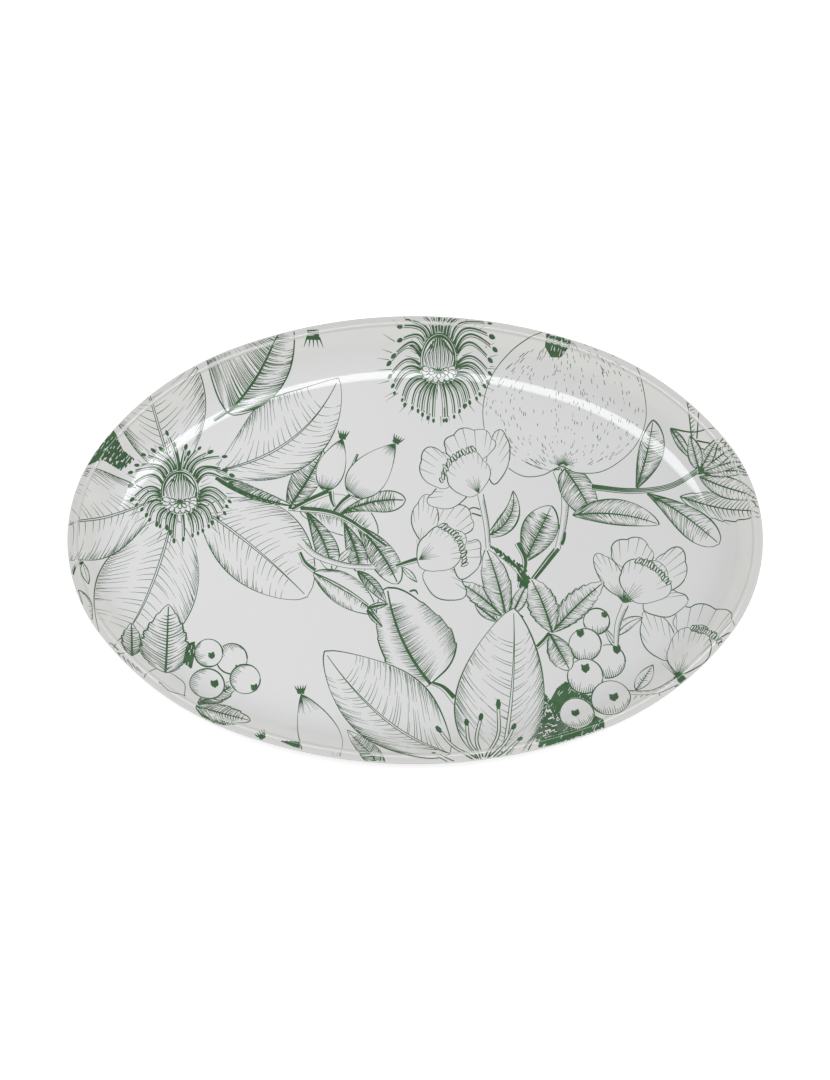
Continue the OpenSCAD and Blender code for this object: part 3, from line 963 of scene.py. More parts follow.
@dataclass(frozen=True)
class Blob:
    """A rounded petal or fruit whose edge may be scalloped.

    Attributes:
        middle: its centre.
        wide: half size across.
        tall: half size along.
        turn: how far it is turned, in degrees.
        scallops: number of scallops round the edge.
        wave: their depth.
        root: where its faint inner lines start from, if it has any.
        rays: number of those lines.
        pen: width of the outline.
        taper: how much narrower the lower half is.
    """

    CORNERS = 96

    middle: Point
    wide: float
    tall: float
    turn: float = 0.0
    scallops: int = 0
    wave: float = 0.06
    root: Point | None = None
    rays: int = 6
    pen: float = 0.46
    taper: float = 0.0

    def edge(self) -> np.ndarray:
        """The outline: an oval whose upper part swells between the scallops."""
        a = np.linspace(0, 2 * math.pi, self.CORNERS + 1)[:-1]
        top = 0.5 + 0.5 * np.sin(a)
        swell = np.abs(np.cos(a * self.scallops / 2)) * top if self.scallops else 0 * a
        r = 1 + self.wave * swell
        low = np.clip(-np.sin(a), 0, 1)
        x, y = self.wide * r * np.cos(a) * (1 - self.taper * low**2), self.tall * r * np.sin(a)
        c, s = math.cos(math.radians(self.turn)), math.sin(math.radians(self.turn))
        return np.stack([self.middle[0] + c * x - s * y, self.middle[1] + s * x + c * y], axis=1)

    def draw(self, sheet: Sheet) -> None:
        """Draws the petal and covers what lies behind it."""
        rim = self.edge()
        if self.root is not None:
            for k in np.linspace(6, 42, self.rays):
                end = rim[int(k)]
                start = fork(self.root)[0]
                share = sheet.rng.uniform(0.25, 0.5)
                sheet.line([start, start + (end - start) * share], (0.36, 0.12))
                sheet.line([start + (end - start) * sheet.rng.uniform(0.68, 0.8), end],
                           (0.1, 0.32))
        sheet.shape(rim, self.pen)
        sheet.cover(rim)


@dataclass(frozen=True)
class Tuft:
    """Stamens that spread from a centre, each ending in a dark anther.

    Attributes:
        middle: the centre.
        tips: for each stamen its direction in degrees and its length.
        curl: how far each arches upwards, as a share of its length.
        anther: size of the anthers.
        thick: width of a stalk's darker line where it starts.
        start: distance from the centre at which they begin.
        gauge: half width of a stalk.
    """

    middle: Point
    tips: tuple[tuple[float, float], ...]
    curl: float
    anther: float
    thick: float
    start: float = 8.0
    gauge: float = 0.55

    def draw(self, sheet: Sheet) -> None:
        """Draws every stamen: a dark and a fine line, which arch upwards, and the anther."""
        for turn, length in self.tips:
            way = ray(turn + sheet.rng.normal(0, 1.5))
            side = left_of(way) * (-1 if way[0] < 0 else 1)
            t = np.linspace(0, 1, 24)[:, None]
            bow = side * length * self.curl * abs(way[0]) * np.sin(math.pi * t**0.8)
            path = fork(self.middle) + way * (self.start + (length - self.start) * t) + bow
            dark = (self.thick * 0.9, self.thick * 0.55, 0.6)
            sheet.line(path[:-2] + side * self.gauge, dark)
            sheet.line(path[:-2] - side * self.gauge, (0.5, 0.36, 0.34))
            head = path[-1] - path[-3]
            head = head / np.hypot(*head)
            size = self.anther * sheet.rng.uniform(0.85, 1.2)
            sheet.line([path[-1] - head * size * 0.9, path[-1], path[-1] + head * size * 0.9],
                       (size * 0.4, size, size * 1.1, size * 0.9, size * 0.3))
            sheet.cover(band(path, side * 0.75))


@dataclass(frozen=True)
class Down:
    """Fine strokes between the stamens, all pointing away from a flower's middle.

    Attributes:
        middle: the point that they point away from.
        near: least distance from it at which a stroke starts.
        far: greatest distance at which one ends.
        count: number of strokes.
    """

    middle: Point
    near: float
    far: float
    count: int

    def draw(self, sheet: Sheet) -> None:
        """Draws the strokes, each with its own start and end."""
        rng, depth = sheet.rng, self.far - self.near
        for turn in np.linspace(0, 2 * math.pi, self.count) + rng.normal(0, 0.03, self.count):
            way = np.array([math.cos(turn), math.sin(turn)])
            start = self.near + rng.uniform(0, 0.35) * depth
            stop = self.far - rng.uniform(0, 0.4) * depth
            path = fork(self.middle) + way * np.linspace(start, stop, 5)[:, None]
            sheet.line(path, (0.4, 0.26, 0.1))


@dataclass(frozen=True)
class Pod:
    """The ribbed seed pod in the middle of a large flower, with a ring of beads below it."""

    middle: Point
    wide: float
    tall: float

    def draw(self, sheet: Sheet) -> None:
        """Draws the ribs, the beads and the dark star."""
        x, y = self.middle
        w, h = self.wide, self.tall
        low = (x, y - 0.5 * h)
        sheet.fill(Blob(low, 1.5, 1.2).edge(), 0.4)
        for a in np.arange(0, 360, 36):
            c, s = ray(a)
            sheet.line([low, (low[0] + 3.4 * c, low[1] + 2.6 * s)], (0.9, 0.3))
        for ring, count, size in ((0.46, 7, 1.3), (0.84, 10, 1.7)):
            for a in np.linspace(165, 375, count):
                c, s = ray(a)
                spot = (x + w * ring * c, low[1] + h * 0.5 * ring * s)
                Blob(spot, size * 0.8, size * 1.15, a + 90, pen=0.5).draw(sheet)
        for k in np.linspace(-0.9, 0.9, 8):
            path = curve([(x + k * w * 0.5, y + h * 0.95 * math.sqrt(1 - 0.6 * k * k)),
                          (x + k * w * 0.95, y + h * 0.2), (x + k * w * 0.8, y - h * 0.3)])
            sheet.line(path, (1.0, 0.5, 0.6, 0.3))
            sheet.line(path + (0.9, -0.6), (0.5, 0.3, 0.15))
        Blob(self.middle, w, h, pen=0.9).draw(sheet)
        Blob(self.middle, w + 1.1, h + 1.1, pen=0.5).draw(sheet)


@dataclass(frozen=True)
class Crown:
    """The dried tuft at the end of a hip: a dark collar with spread teeth."""

    at: Point
    turn: float
    size: float = 3.4

    def draw(self, sheet: Sheet) -> None:
        """Draws the collar and its teeth."""
        at = fork(self.at)[0]
        way = ray(self.turn) * self.size
        side = left_of(way)
        sheet.fill([at - side * 0.5, at + way * 0.9 - side * 0.6, at + way * 0.9 + side * 0.6,
                    at + side * 0.5], 0.4, self.turn)
        for k in (-0.7, -0.35, 0.0, 0.35, 0.7):
            root = at + way * 0.7 + side * k * 0.8
            sheet.line([root, root + way * 0.75 + side * k * 0.5], (0.9, 0.6, 0.15))


@dataclass(frozen=True)
class Berry:
    """A round berry with a small dark eye and shading on one side.

    Attributes:
        middle: its centre.
        size: its half size.
        eye: where the eye lies from the centre, in half sizes.
        shade: direction of the shaded side, in degrees.
        tall: its height over its width.
        turn: how far it is turned, in degrees.
    """

    middle: Point
    size: float
    eye: Point
    shade: float = -80.0
    tall: float = 1.02
    turn: float = 0.0

    # Corners of the ragged eye, in fifths of the half size.
    EYE = ((-1.2, 1.1), (-0.2, 0.8), (0.9, 1.4), (1.3, -0.2), (0.2, -1.7), (-1.0, -0.8))

    def draw(self, sheet: Sheet) -> None:
        """Draws the eye and the shading, then the outline, and covers what lies behind."""
        middle = fork(self.middle)[0]
        mark = middle + fork(self.eye)[0] * self.size
        sheet.fill(mark + fork(self.EYE) * (self.size * 0.2), 0.4, 60)
        pull = ray(self.shade) * self.size
        for turn in np.linspace(-75, 75, 22) + self.shade:
            end = middle + ray(turn) * self.size
            deep = sheet.rng.uniform(0.14, 0.4) * (1 - abs(turn - self.shade) / 110)
            sheet.line([end, end - pull * deep * 1.9], (0.5, 0.14))
        Blob(self.middle, self.size, self.size * self.tall, self.turn, pen=0.62).draw(sheet)


@dataclass(frozen=True)
class Stem:
    """A stalk drawn as a dark line or as two edges with short shading between."""

    points: tuple[Point, ...]
    start: float = 1.5
    end: float = 1.0
    solid: bool = True

    def draw(self, sheet: Sheet) -> None:
        """Draws the stalk and covers what lies behind it."""
        path = curve(self.points, 30)
        way = np.gradient(path, axis=0)
        way /= np.hypot(*way.T)[:, None]
        side = left_of(way)
        wide = np.linspace(self.start, self.end, 30)[:, None] / 2
        if self.solid:
            sheet.line(path + side * wide * 0.4, (self.start * 0.8, self.end * 0.7))
            sheet.line(path - side * wide, (0.34, 0.3))
        else:
            sheet.line(path + side * wide, (0.5, 0.4))
            sheet.line(path - side * wide, (0.3, 0.3))
            for k in np.linspace(2, 26, int(self.start * 8)).astype(int):
                sheet.line([path[k] + side[k] * wide[k], path[k + 2] + side[k] * wide[k] * 0.1],
                           (0.3, 0.1))
        sheet.cover(band(path, side * wide))


@dataclass(frozen=True)
class Peony:
    """An open flower: scalloped petals behind a cupped front one, with looped stamens.

    Attributes:
        base: where the petals' lines start.
        petals: the petals from front to back.
        fringe: a path along the front petal's edge that the stamens stand on.
        away: direction in which the stamens lean, in degrees.
    """

    base: Point
    petals: tuple[Blob, ...]
    fringe: tuple[Point, ...]
    away: float

    def draw(self, sheet: Sheet) -> None:
        """Draws stamens, then petals from front to back."""
        path = curve(self.fringe, 15)
        for spot in path:
            turn = self.away + sheet.rng.normal(0, 14)
            Blob(spot + 0.9 * ray(turn), 0.75, sheet.rng.uniform(1.5, 2.4), turn - 90,
                 pen=0.55).draw(sheet)
        for k, petal in enumerate(self.petals):
            replace(petal, root=self.base, rays=6 if k else 9).draw(sheet)


@dataclass(frozen=True)
class Hip:
    """A rose hip: a swollen fruit that narrows to a neck with a dried crown."""

    base: Point
    tip: Point
    left: float
    right: float
    crown: float = 90.0
    belly: float = 0.36

    def draw(self, sheet: Sheet) -> None:
        """Draws the crown, the neck's strokes, the foot's strokes and the outline."""
        Crown(self.tip, self.crown).draw(sheet)
        body = Blade(self.base, self.tip, self.left, self.right, belly=self.belly, sharp=0.8,
                     hatch=Hatch.NONE, rib=0.0, pen=0.42)
        for u in np.linspace(-0.9, 0.9, 13):
            t = np.linspace(1.0, sheet.rng.uniform(0.78, 0.9), 8)
            sheet.line(body.place(t, np.full(8, u)), (0.4, 0.1))
        for u in np.linspace(-0.95, 0.95, 20):
            t = np.linspace(0.03, sheet.rng.uniform(0.14, 0.3), 8)
            sheet.line(body.place(t, np.full(8, u)), (0.34, 0.08))
        body.draw(sheet)


@dataclass(frozen=True)
class Fruit:
    """The large round fruit with a dimple at its stalk, dashes down its sides and a calyx.

    Attributes:
        rim: points of its outline.
        middle: centre of the dashes.
        wide: half width of the dashed part.
        tall: half height of the dashed part.
        calyx: corners of the dark calyx.
        stalk: the dimple that the stalk stands in.
        dashes: number of dashes.
    """

    rim: tuple[Point, ...]
    middle: Point
    wide: float
    tall: float
    calyx: tuple[Point, ...]
    stalk: Point
    dashes: int = 420

    def draw(self, sheet: Sheet) -> None:
        """Draws the calyx, dashes that follow the fruit's roundness and the outline."""
        sheet.fill(self.calyx, 0.45, 70, gaps=0.18)
        sheet.shape(fork(self.calyx), 0.6)
        sheet.cover(fork(self.calyx))
        rng = sheet.rng
        u = np.sin(np.clip(rng.normal(0, 0.75, self.dashes), -1.5, 1.5))
        v = rng.uniform(0.03, 0.97, self.dashes)
        for across, down in zip(u, v):
            bright = math.exp(-((across + 0.25) / 0.22)**2 - ((down - 0.45) / 0.3)**2)
            if rng.uniform() < bright * 0.85:
                continue
            t = down + np.linspace(0, rng.uniform(0.012, 0.034), 5)
            spread = np.sin(np.pi * np.clip(t, 0, 1)) ** 0.5
            spots = np.stack([self.middle[0] + self.wide * across * spread,
                              self.middle[1] + self.tall * (1 - 2 * t)], axis=1)
            sheet.line(spots, rng.uniform(0.16, 0.34))
        stalk = fork(self.stalk)[0]
        for turn in np.linspace(20, 160, 22):
            way = ray(turn)
            sheet.line([stalk + way * 1.5, stalk + way * rng.uniform(4, 9)], (0.34, 0.1))
        edge = curve(self.rim, 160)
        sheet.line(edge, (0.5, 0.36, 0.5, 0.34, 0.44))
        sheet.cover(edge)


# ---------------------------------------------------------------- the sprays

def star_flower(sheet: Sheet) -> None:
    """Draws the stamens and pod of the large flower on the left."""
    upper = ((104, 33), (84, 26), (68, 27), (42, 31), (22, 29), (121, 27), (147, 27), (158, 28),
             (134, 28), (95, 27), (56, 28), (12, 27), (170, 26), (32, 27), (112, 26), (76, 23))
    lower = ((-4, 26), (-13, 25), (-22, 25), (-31, 23), (-39, 22), (-46, 22), (-55, 22), (-64, 22),
             (-74, 22), (-84, 23), (-94, 24), (-104, 20), (-113, 18), (-122, 19), (-131, 19),
             (-141, 20), (-150, 20), (-159, 21), (-168, 23), (-177, 25))
    sheet.draw(
        Pod((-122.5, 29.5), 8.6, 10.5),
        Tuft((-122.5, 28.0), upper, 0.3, 1.7, 1.8),
        Tuft((-122.5, 27.0), lower, 0.24, 1.5, 1.6),
        Down((-122.5, 28.0), 10.0, 19.0, 36),
        Down((-122.5, 28.0), 22.0, 31.0, 26),
    )


def star_petals(sheet: Sheet) -> None:
    """Draws the large flower's petals."""
    look = {"veins": 17, "twin": True, "rib": 1.8, "reach": 0.2,
            "strokes": 30, "slant": 0.34, "pen": 0.46}
    sheet.draw(
        Blade((-104, 41), (-40, 91), 25, 16, -11, 0.5, 0.8, **look),
        Blade((-104, 37), (-64, 22), 4.6, 1.6, -2, 0.4, 0.7, hatch=Hatch.BOTH, rib=1.6, reach=0.9,
              strokes=34, weight=1.5),
        Blade((-111, 20), (-56, -27), 26, 19, 2, 0.5, 0.62, **look),
        Blade((-134, 26), (-205, -4), 20, 27, 0, 0.55, 0.6, **look),
        Blade((-126.5, 16), (-157, -61), 24, 27, 4, 0.5, 0.62, **look),
        Blade((-125.5, 38), (-149, 108), 21, 29, 0, 0.55, 0.6, **look),
    )


def crest_flower(sheet: Sheet) -> None:
    """Draws the stamens and pod of the flower cut off by the far rim."""
    upper = ((169, 24), (152, 23), (130, 25), (118, 30), (106, 34), (94, 34), (82, 34), (70, 34),
             (58, 34), (46, 34), (34, 32), (22, 30), (12, 30), (2, 27), (178, 26), (142, 26))
    lower = ((-8, 27), (-16, 27), (-26, 26), (-34, 26), (-41, 26), (-48, 25), (-54, 25), (-60, 25),
             (-66, 26), (-73, 28), (-80, 29), (-87, 29), (-94, 29), (-101, 28), (-108, 27),
             (-115, 26), (-122, 26), (-131, 27), (-140, 26), (-149, 27), (-158, 26), (-167, 26))
    sheet.draw(
        Pod((12.3, 100.0), 8.4, 10.4),
        Tuft((12.3, 98.0), upper, 0.3, 1.6, 1.6),
        Tuft((12.3, 97.0), lower, 0.24, 1.4, 1.5),
        Down((12.3, 98.0), 10.0, 20.0, 36),
        Down((12.3, 97.0), 24.0, 33.0, 34),
    )


def folded_leaf(sheet: Sheet) -> None:
    """Draws the folded leaf at the upper left rim and the small crown beside it."""
    sheet.draw(
        Blade((-98, 72), (-67, 120), 33, 13, -3, 0.5, 0.6, hatch=Hatch.BOTH, strokes=58, reach=0.5,
              slant=0.3, rib=1.4, pen=0.6, weight=1.05),
        Stem(((-84, 84), (-94, 76), (-105, 68)), 2.2, 1.4),
        Blade((-100, 71), (-80, 84), 2.0, 3.4, 0, 0.6, hatch=Hatch.BOTH, rib=0.8, strokes=24,
              reach=0.8),
        Crown((-53.3, 112.5), -88, 5.6),
    )


def rim_calyx(sheet: Sheet) -> None:
    """Draws the dark calyx at the left rim."""
    patch = ((-175, 37), (-166, 50), (-157, 59), (-152, 49), (-146, 46), (-153, 39), (-162, 42))
    sheet.fill(patch, 0.5, 55, gaps=0.25)
    sheet.cover(fork(patch))


def rosehips(sheet: Sheet) -> None:
    """Draws the two rose hips above the lobed leaf."""
    sheet.draw(
        Hip((-34, 28), (-10.5, 55.5), 9.5, 10.5, 62),
        Hip((-47, 30), (-38, 58), 8.0, 6.5, 82, 0.4),
        Stem(((-64, 20), (-55, 25), (-45, 29.5)), 1.6, 3.2),
        Stem(((-42, 19), (-38, 24), (-33, 28)), 1.6, 2.6),
        Stem(((-41, 20), (-43, 24), (-44, 30)), 0.8, 2.6),
        Stem(((-30, 50), (-33, 42), (-35, 33)), 1.0, 2.2),
    )


def lobed_leaf(sheet: Sheet) -> None:
    """Draws the lobed leaf under the rose hips."""
    look = {"hatch": Hatch.BOTH, "strokes": 38, "reach": 0.62, "rib": 1.4, "slant": 0.12,
            "pen": 0.5, "weight": 1.3}
    sheet.draw(
        Stem(((-66, 21), (-40, 17), (-15, 0)), 2.8, 1.8),
        Blade((-40, 17), (-5, 25), 5.0, 6.4, 3, 0.72, 0.55, **look),
        Blade((-30, 11), (-9, -20), 6.6, 7.4, 2, 0.62, 0.55, **look),
        Blade((-37, 13), (-28, -14), 5.0, 5.2, 1, 0.66, 0.55, **look),
        Blade((-57, 19), (-43, -13), 6.0, 5.6, 2, 0.66, 0.55, **look),
        Blade((-66, 21), (-48, 52), 8.4, 6.4, -1, 0.5, 0.7, **look),
        Blade((-60, 19), (-20, 5), 12, 9, 4, 0.5, 0.6, hatch=Hatch.RIB, strokes=46, reach=0.45,
              rib=0.0, weight=1.2),
    )


def closed_bud(sheet: Sheet) -> None:
    """Draws the closed bud and the thin branch above it."""
    sheet.draw(
        Blade((-25, -33), (-14, -30.5), 1.6, 1.6, 0, hatch=Hatch.BOTH, rib=1.6),
        Blade((-25, -34), (-17, -43), 1.4, 1.6, 0, hatch=Hatch.BOTH, rib=1.6),
        Blade((-53, -14), (-20, -35), 7.4, 1.5, 2, 0.46, 0.8, rib=0.8, strokes=26, reach=0.4,
              slant=0.3),
        Blade((-53, -14), (-21, -36), 1.2, 8.6, 2, 0.5, 0.7, rib=1.1, strokes=32, hatch=Hatch.BOTH,
              reach=0.34, slant=0.3),
        Stem(((-60, -3), (-57, -9), (-50, -14.5)), 1.4, 2.8),
        Stem(((-60, 3), (-51, -5), (-36, -10), (-21, -11)), 3.4, 2.2, False),
        Stem(((-10, -10.5), (-4, -8.5), (1, -7)), 1.6, 2.6),
        Blade((-40, -8), (-33, -1), 1.8, 1.8, rib=0.4, strokes=6),
        Blade((-7, -11), (1, -19), 1.8, 1.4, rib=0.4, strokes=6),
        Blade((-30, -13), (-15, -30), 3.0, 3.4, 1, hatch=Hatch.BOTH, rib=0.8, strokes=28,
              reach=0.7),
    )
    sheet.line(curve([(-3, -24), (0, -23.4), (1.4, -25.6)]), (0.9, 1.2, 0.5))


def left_berries(sheet: Sheet) -> None:
    """Draws the berries and toothed leaves at the lower left."""
    sheet.draw(
        Berry((-107.0, -57), 7.3, (0.2, -0.15), -160),
        Berry((-107.6, -74.5), 8.9, (0.42, 0.1), 165),
        Berry((-88.0, -71), 7.8, (0.6, -0.55), 150),
        Berry((-95.0, -60), 8.0, (0.45, -0.6), 120),
    )
    patch = ((-118.5, -52), (-114, -50.5), (-114.5, -59), (-116, -66), (-120, -63))
    sheet.fill(patch, 0.5, 80, gaps=0.15)
    look = {"hatch": Hatch.BOTH, "rib": 1.3, "reach": 0.66, "slant": 0.28, "pen": 0.6,
            "weight": 1.6}
    sheet.draw(
        Blade((-129, -70), (-128, -31), 14.5, 11.5, 0, 0.4, 0.8, 8, 0.16, strokes=19, **look),
        Blade((-146, -63), (-147, -42), 5.6, 5.6, 0, 0.45, 0.8, 5, 0.24, strokes=12, **look),
        Blade((-113, -90), (-85, -96), 6.6, 6.6, 0, 0.5, 0.6, 5, 0.24, strokes=17, **look),
        Blade((-112, -88), (-93, -73), 5.4, 5.4, 0, 0.55, 0.6, 4, 0.24, strokes=20, **look),
    )
    for start, bow, stop in (((-139, -73), (-132, -68), (-124, -71)),
                             ((-124, -71), (-119, -76), (-119, -86)),
                             ((-139, -73), (-141, -78), (-139, -84)),
                             ((-132, -77), (-126, -82), (-118, -84)),
                             ((-153, -60), (-156, -57), (-158, -56))):
        sheet.line(curve([start, bow, stop]), (0.5, 0.36))
    for k in range(7):
        sheet.line([(-158 + 2.4 * k, -57 - 2 * k), (-155 + 2.4 * k, -64 - 1.4 * k)], (0.5, 0.2))
    sheet.draw(
        Stem(((-172, -12), (-176, -16), (-178, -23)), 1.8, 1.2),
        Blade((-172, -13), (-169, -24), 1.8, 2.2, rib=0.3, strokes=8),
        Blade((-174, -28), (-168, -48), 4.4, 3.0, rib=0.4, strokes=16),
    )


def bottom_hip(sheet: Sheet) -> None:
    """Draws the rose hip that rises from the near rim."""
    sheet.draw(
        Hip((-48, -130), (-59, -79), 6.5, 15.5, 95, 0.46),
        Crown((-78, -107), 120, 3.2),
    )
    sheet.fill(((-70, -108), (-55, -109), (-55, -113), (-63, -111)), 0.45, 8)
    Blade((-14, -127), (-35, -99), 4.4, 5.4, 0, 0.5, hatch=Hatch.BOTH, rib=0.7, strokes=34,
          reach=0.8).draw(sheet)


def heart_leaf(sheet: Sheet) -> None:
    """Draws the broad shaded leaf in the middle."""
    sheet.draw(
        Stem(((9, -73), (15, -76), (22, -84)), 1.6, 4.0),
        Blade((8, -73.5), (-14.5, -22), 13, 25.5, 4, 0.34, 0.5, 5, 0.05, hatch=Hatch.BOTH,
              strokes=120, reach=0.34, slant=0.18, rib=1.7, pen=0.7, weight=0.62),
    )


def lily(sheet: Sheet) -> None:
    """Draws the two lily petals and the stamens at the near rim."""
    root = (35, -120)
    for tip in ((43, -84), (34, -91), (26.5, -94), (12, -98), (51, -97), (54, -106), (10, -115)):
        way = fork(tip)[0] - fork(root)[0]
        size = np.hypot(*way)
        side = left_of(way) / size
        path = curve([root, fork(root)[0] + way * 0.5 - side * size * 0.1 * np.sign(way[0]),
                      tip], 26)
        sheet.line([path[-3], path[-1] + (path[-1] - path[-3]) * 0.8], (1.4, 2.8, 1.4))
        for push in (0.75, -0.75):
            sheet.line(path[:-2] + side * push, (0.8, 0.6, 0.42))
        sheet.cover(band(path, side * 0.9))
    look = {"twin": True, "reach": 0.2, "strokes": 34, "pen": 0.6,
            "slant": 0.4}
    sheet.draw(
        Blade((43, -126), (51, -33), 29, 17, -3, 0.44, 0.72, veins=22, rib=2.4, **look),
        Blade((18, -115), (-47, -56), 15, 27, 6, 0.46, 0.72, veins=24, rib=1.8, **look),
    )


def twin_peonies(sheet: Sheet) -> None:
    """Draws the two open flowers in the middle with their stalk and leaf."""
    sheet.draw(
        Stem(((34, 28), (37, 12), (38, -1)), 3.0, 2.2, False),
        Blade((38, 6), (51, 30), 4.2, 4.8, -5, 0.42, 0.8, hatch=Hatch.RIB, strokes=24, reach=0.85,
              rib=0.9, pen=0.7, weight=1.3),
        Peony((33, 29), (
            Blob((27.5, 38.5), 10.8, 11.8, 8, 5, 0.2, taper=0.3),
            Blob((11.8, 41.5), 8.2, 11, 25, 4, 0.2, taper=0.3),
            Blob((28.5, 54), 12.4, 8.8, 5, 7, 0.2, taper=0.3),
            Blob((43, 47.5), 5.6, 14, -8, 3, 0.17, taper=0.3),
            Blob((17, 26.5), 10, 6, 15, 4, 0.2, taper=0.3),
        ), ((14, 35), (17, 43), (23, 49), (31, 52)), 110),
        Peony((2, -7), (
            Blob((12.5, -2), 10.6, 13.4, -48, 5, 0.2, taper=0.3),
            Blob((5, 14.5), 6.4, 11.5, -5, 4, 0.2, taper=0.3),
            Blob((20, 13.5), 9.6, 8.4, -20, 5, 0.22, taper=0.3),
            Blob((27, -7.5), 6.2, 10.6, -20, 5, 0.2, taper=0.3),
            Blob((15, -20.5), 11.4, 7.8, -30, 4, 0.2, taper=0.3),
        ), ((13, 11), (20, 6), (24, -2), (25, -10)), 35),
    )
    sheet.line(curve([(22, 14), (28, 18), (36, 16)]), (0.6, 0.9))
    sheet.line(curve([(24, 17), (30, 21), (36, 19)]), (0.6, 0.8))


def right_peony(sheet: Sheet) -> None:
    """Draws the open flower on the right with its stalk."""
    sheet.draw(
        Stem(((109, -31), (105, -42), (104, -55)), 3.4, 2.2, False),
        Blade((104, -48), (118, -38), 2.8, 3.2, 2, rib=0.6, strokes=12),
        Blade((104, -54), (98.5, -44), 1.4, 1.6, rib=0.5, strokes=8),
        Peony((108, -30), (
            Blob((119, -19.5), 13.0, 11.4, -22, 5, 0.2, taper=0.4),
            Blob((101.5, -16), 5.4, 12.4, 28, 3, 0.2, taper=0.5),
            Blob((112.5, -4.5), 10.4, 8.4, -5, 5, 0.2, taper=0.4),
            Blob((131.5, -14), 8.2, 12.4, -24, 4, 0.2, taper=0.4),
            Blob((130, -31), 10.8, 6.8, 12, 4, 0.2, taper=0.4),
        ), ((115, -8), (121, -10), (127, -15), (131, -20)), 55),
    )


def corner_peony(sheet: Sheet) -> None:
    """Draws the open flower at the lower right rim."""
    Stem(((107, -79), (122, -82), (135, -76.5)), 2.4, 3.4, False).draw(sheet)
    sheet.fill(((131, -78), (135.5, -71), (140, -75), (135, -80)), 0.45, 30)
    sheet.draw(
        Blade((114, -79), (123, -64), 3.8, 4.0, 0, hatch=Hatch.RIB, rib=0.6, strokes=10,
              weight=1.3),
        Peony((135, -75), (
            Blob((141, -59), 10.4, 15, -20, 5, 0.17, taper=0.6),
            Blob((126, -49), 7.8, 14.4, 20, 4, 0.17, taper=0.5),
            Blob((149, -43), 15, 9.6, -20, 7, 0.2),
        ), ((143, -45), (147, -47), (152, -51), (157, -57)), 50),
    )
    for k in range(8):
        sheet.line([(105 + 3 * k, -82 - k * 0.3), (103 + 3.2 * k, -88 + k * 0.8)], (0.5, 0.2))


def big_fruit(sheet: Sheet) -> None:
    """Draws the large fruit and its calyx at the far rim."""
    Fruit(((66, 111), (50, 103), (40, 92), (35.5, 76), (37, 60), (44, 47), (55, 38.5), (66, 38.5),
           (76, 43.2), (84, 40), (97, 40.5), (109, 48), (117, 58), (120.5, 70), (118, 84),
           (112, 96), (90, 110)),
          (78, 74), 41, 34, ((69, 112), (68, 104), (71, 99.5), (76, 99), (80, 103), (82, 110)),
          (77, 43)).draw(sheet)


def fruit_leaves(sheet: Sheet) -> None:
    """Draws the stalks and leaves round the large fruit."""
    bough = curve([(92, 32), (112, 30), (131, 32), (147, 40)], 60)
    for shift, widths in ((1.3, (0.9, 0.5, 0.5)), (0.5, (0.9, 0.7, 0.3)), (-0.3, (0.8, 0.5, 0.6)),
                          (-1.2, (0.5, 0.4, 0.7))):
        sheet.line(bough + (0, shift), widths)
    sheet.cover(band(bough, np.array([0, 1.4])))
    look = {"hatch": Hatch.BOTH, "rib": 1.0, "reach": 0.55, "slant": 0.24, "strokes": 30,
            "pen": 0.56, "weight": 1.1}
    sheet.draw(
        Blade((82, 17), (127, 12), 8.0, 5.6, 3, 0.5, 0.7, **look),
        Blade((78, 42), (93, 15), 7.4, 9.4, 1, 0.42, 0.55, **look),
        Blade((115, 31), (124, 67), 4.6, 8.4, -1, 0.6, 0.7, **look),
        Blade((120, 29), (158, 1), 6.8, 8.6, 2, 0.68, 0.55, **look),
        Stem(((74, 41), (78, 28), (77, 12), (74, -1)), 4.4, 2.6, False),
    )
    sheet.fill(((72, 42), (76, 42.5), (79, 30), (79, 20), (77, 20), (76, 30)), 0.5, 88)
    Blade((57, -8), (71, 22), 9.4, 8.8, 0, 0.58, 0.66, hatch=Hatch.BOTH, rib=0.8, reach=0.5,
          strokes=46, slant=0.16, pen=0.6, weight=1.2).draw(sheet)
    sheet.line(curve([(78, 14), (77, 3), (70, -7), (60, -20)]), (1.1, 2.0, 1.4))
    sheet.line(curve([(75, 12), (74, 2), (67, -8), (59, -19)]), (0.6, 1.0, 0.7))


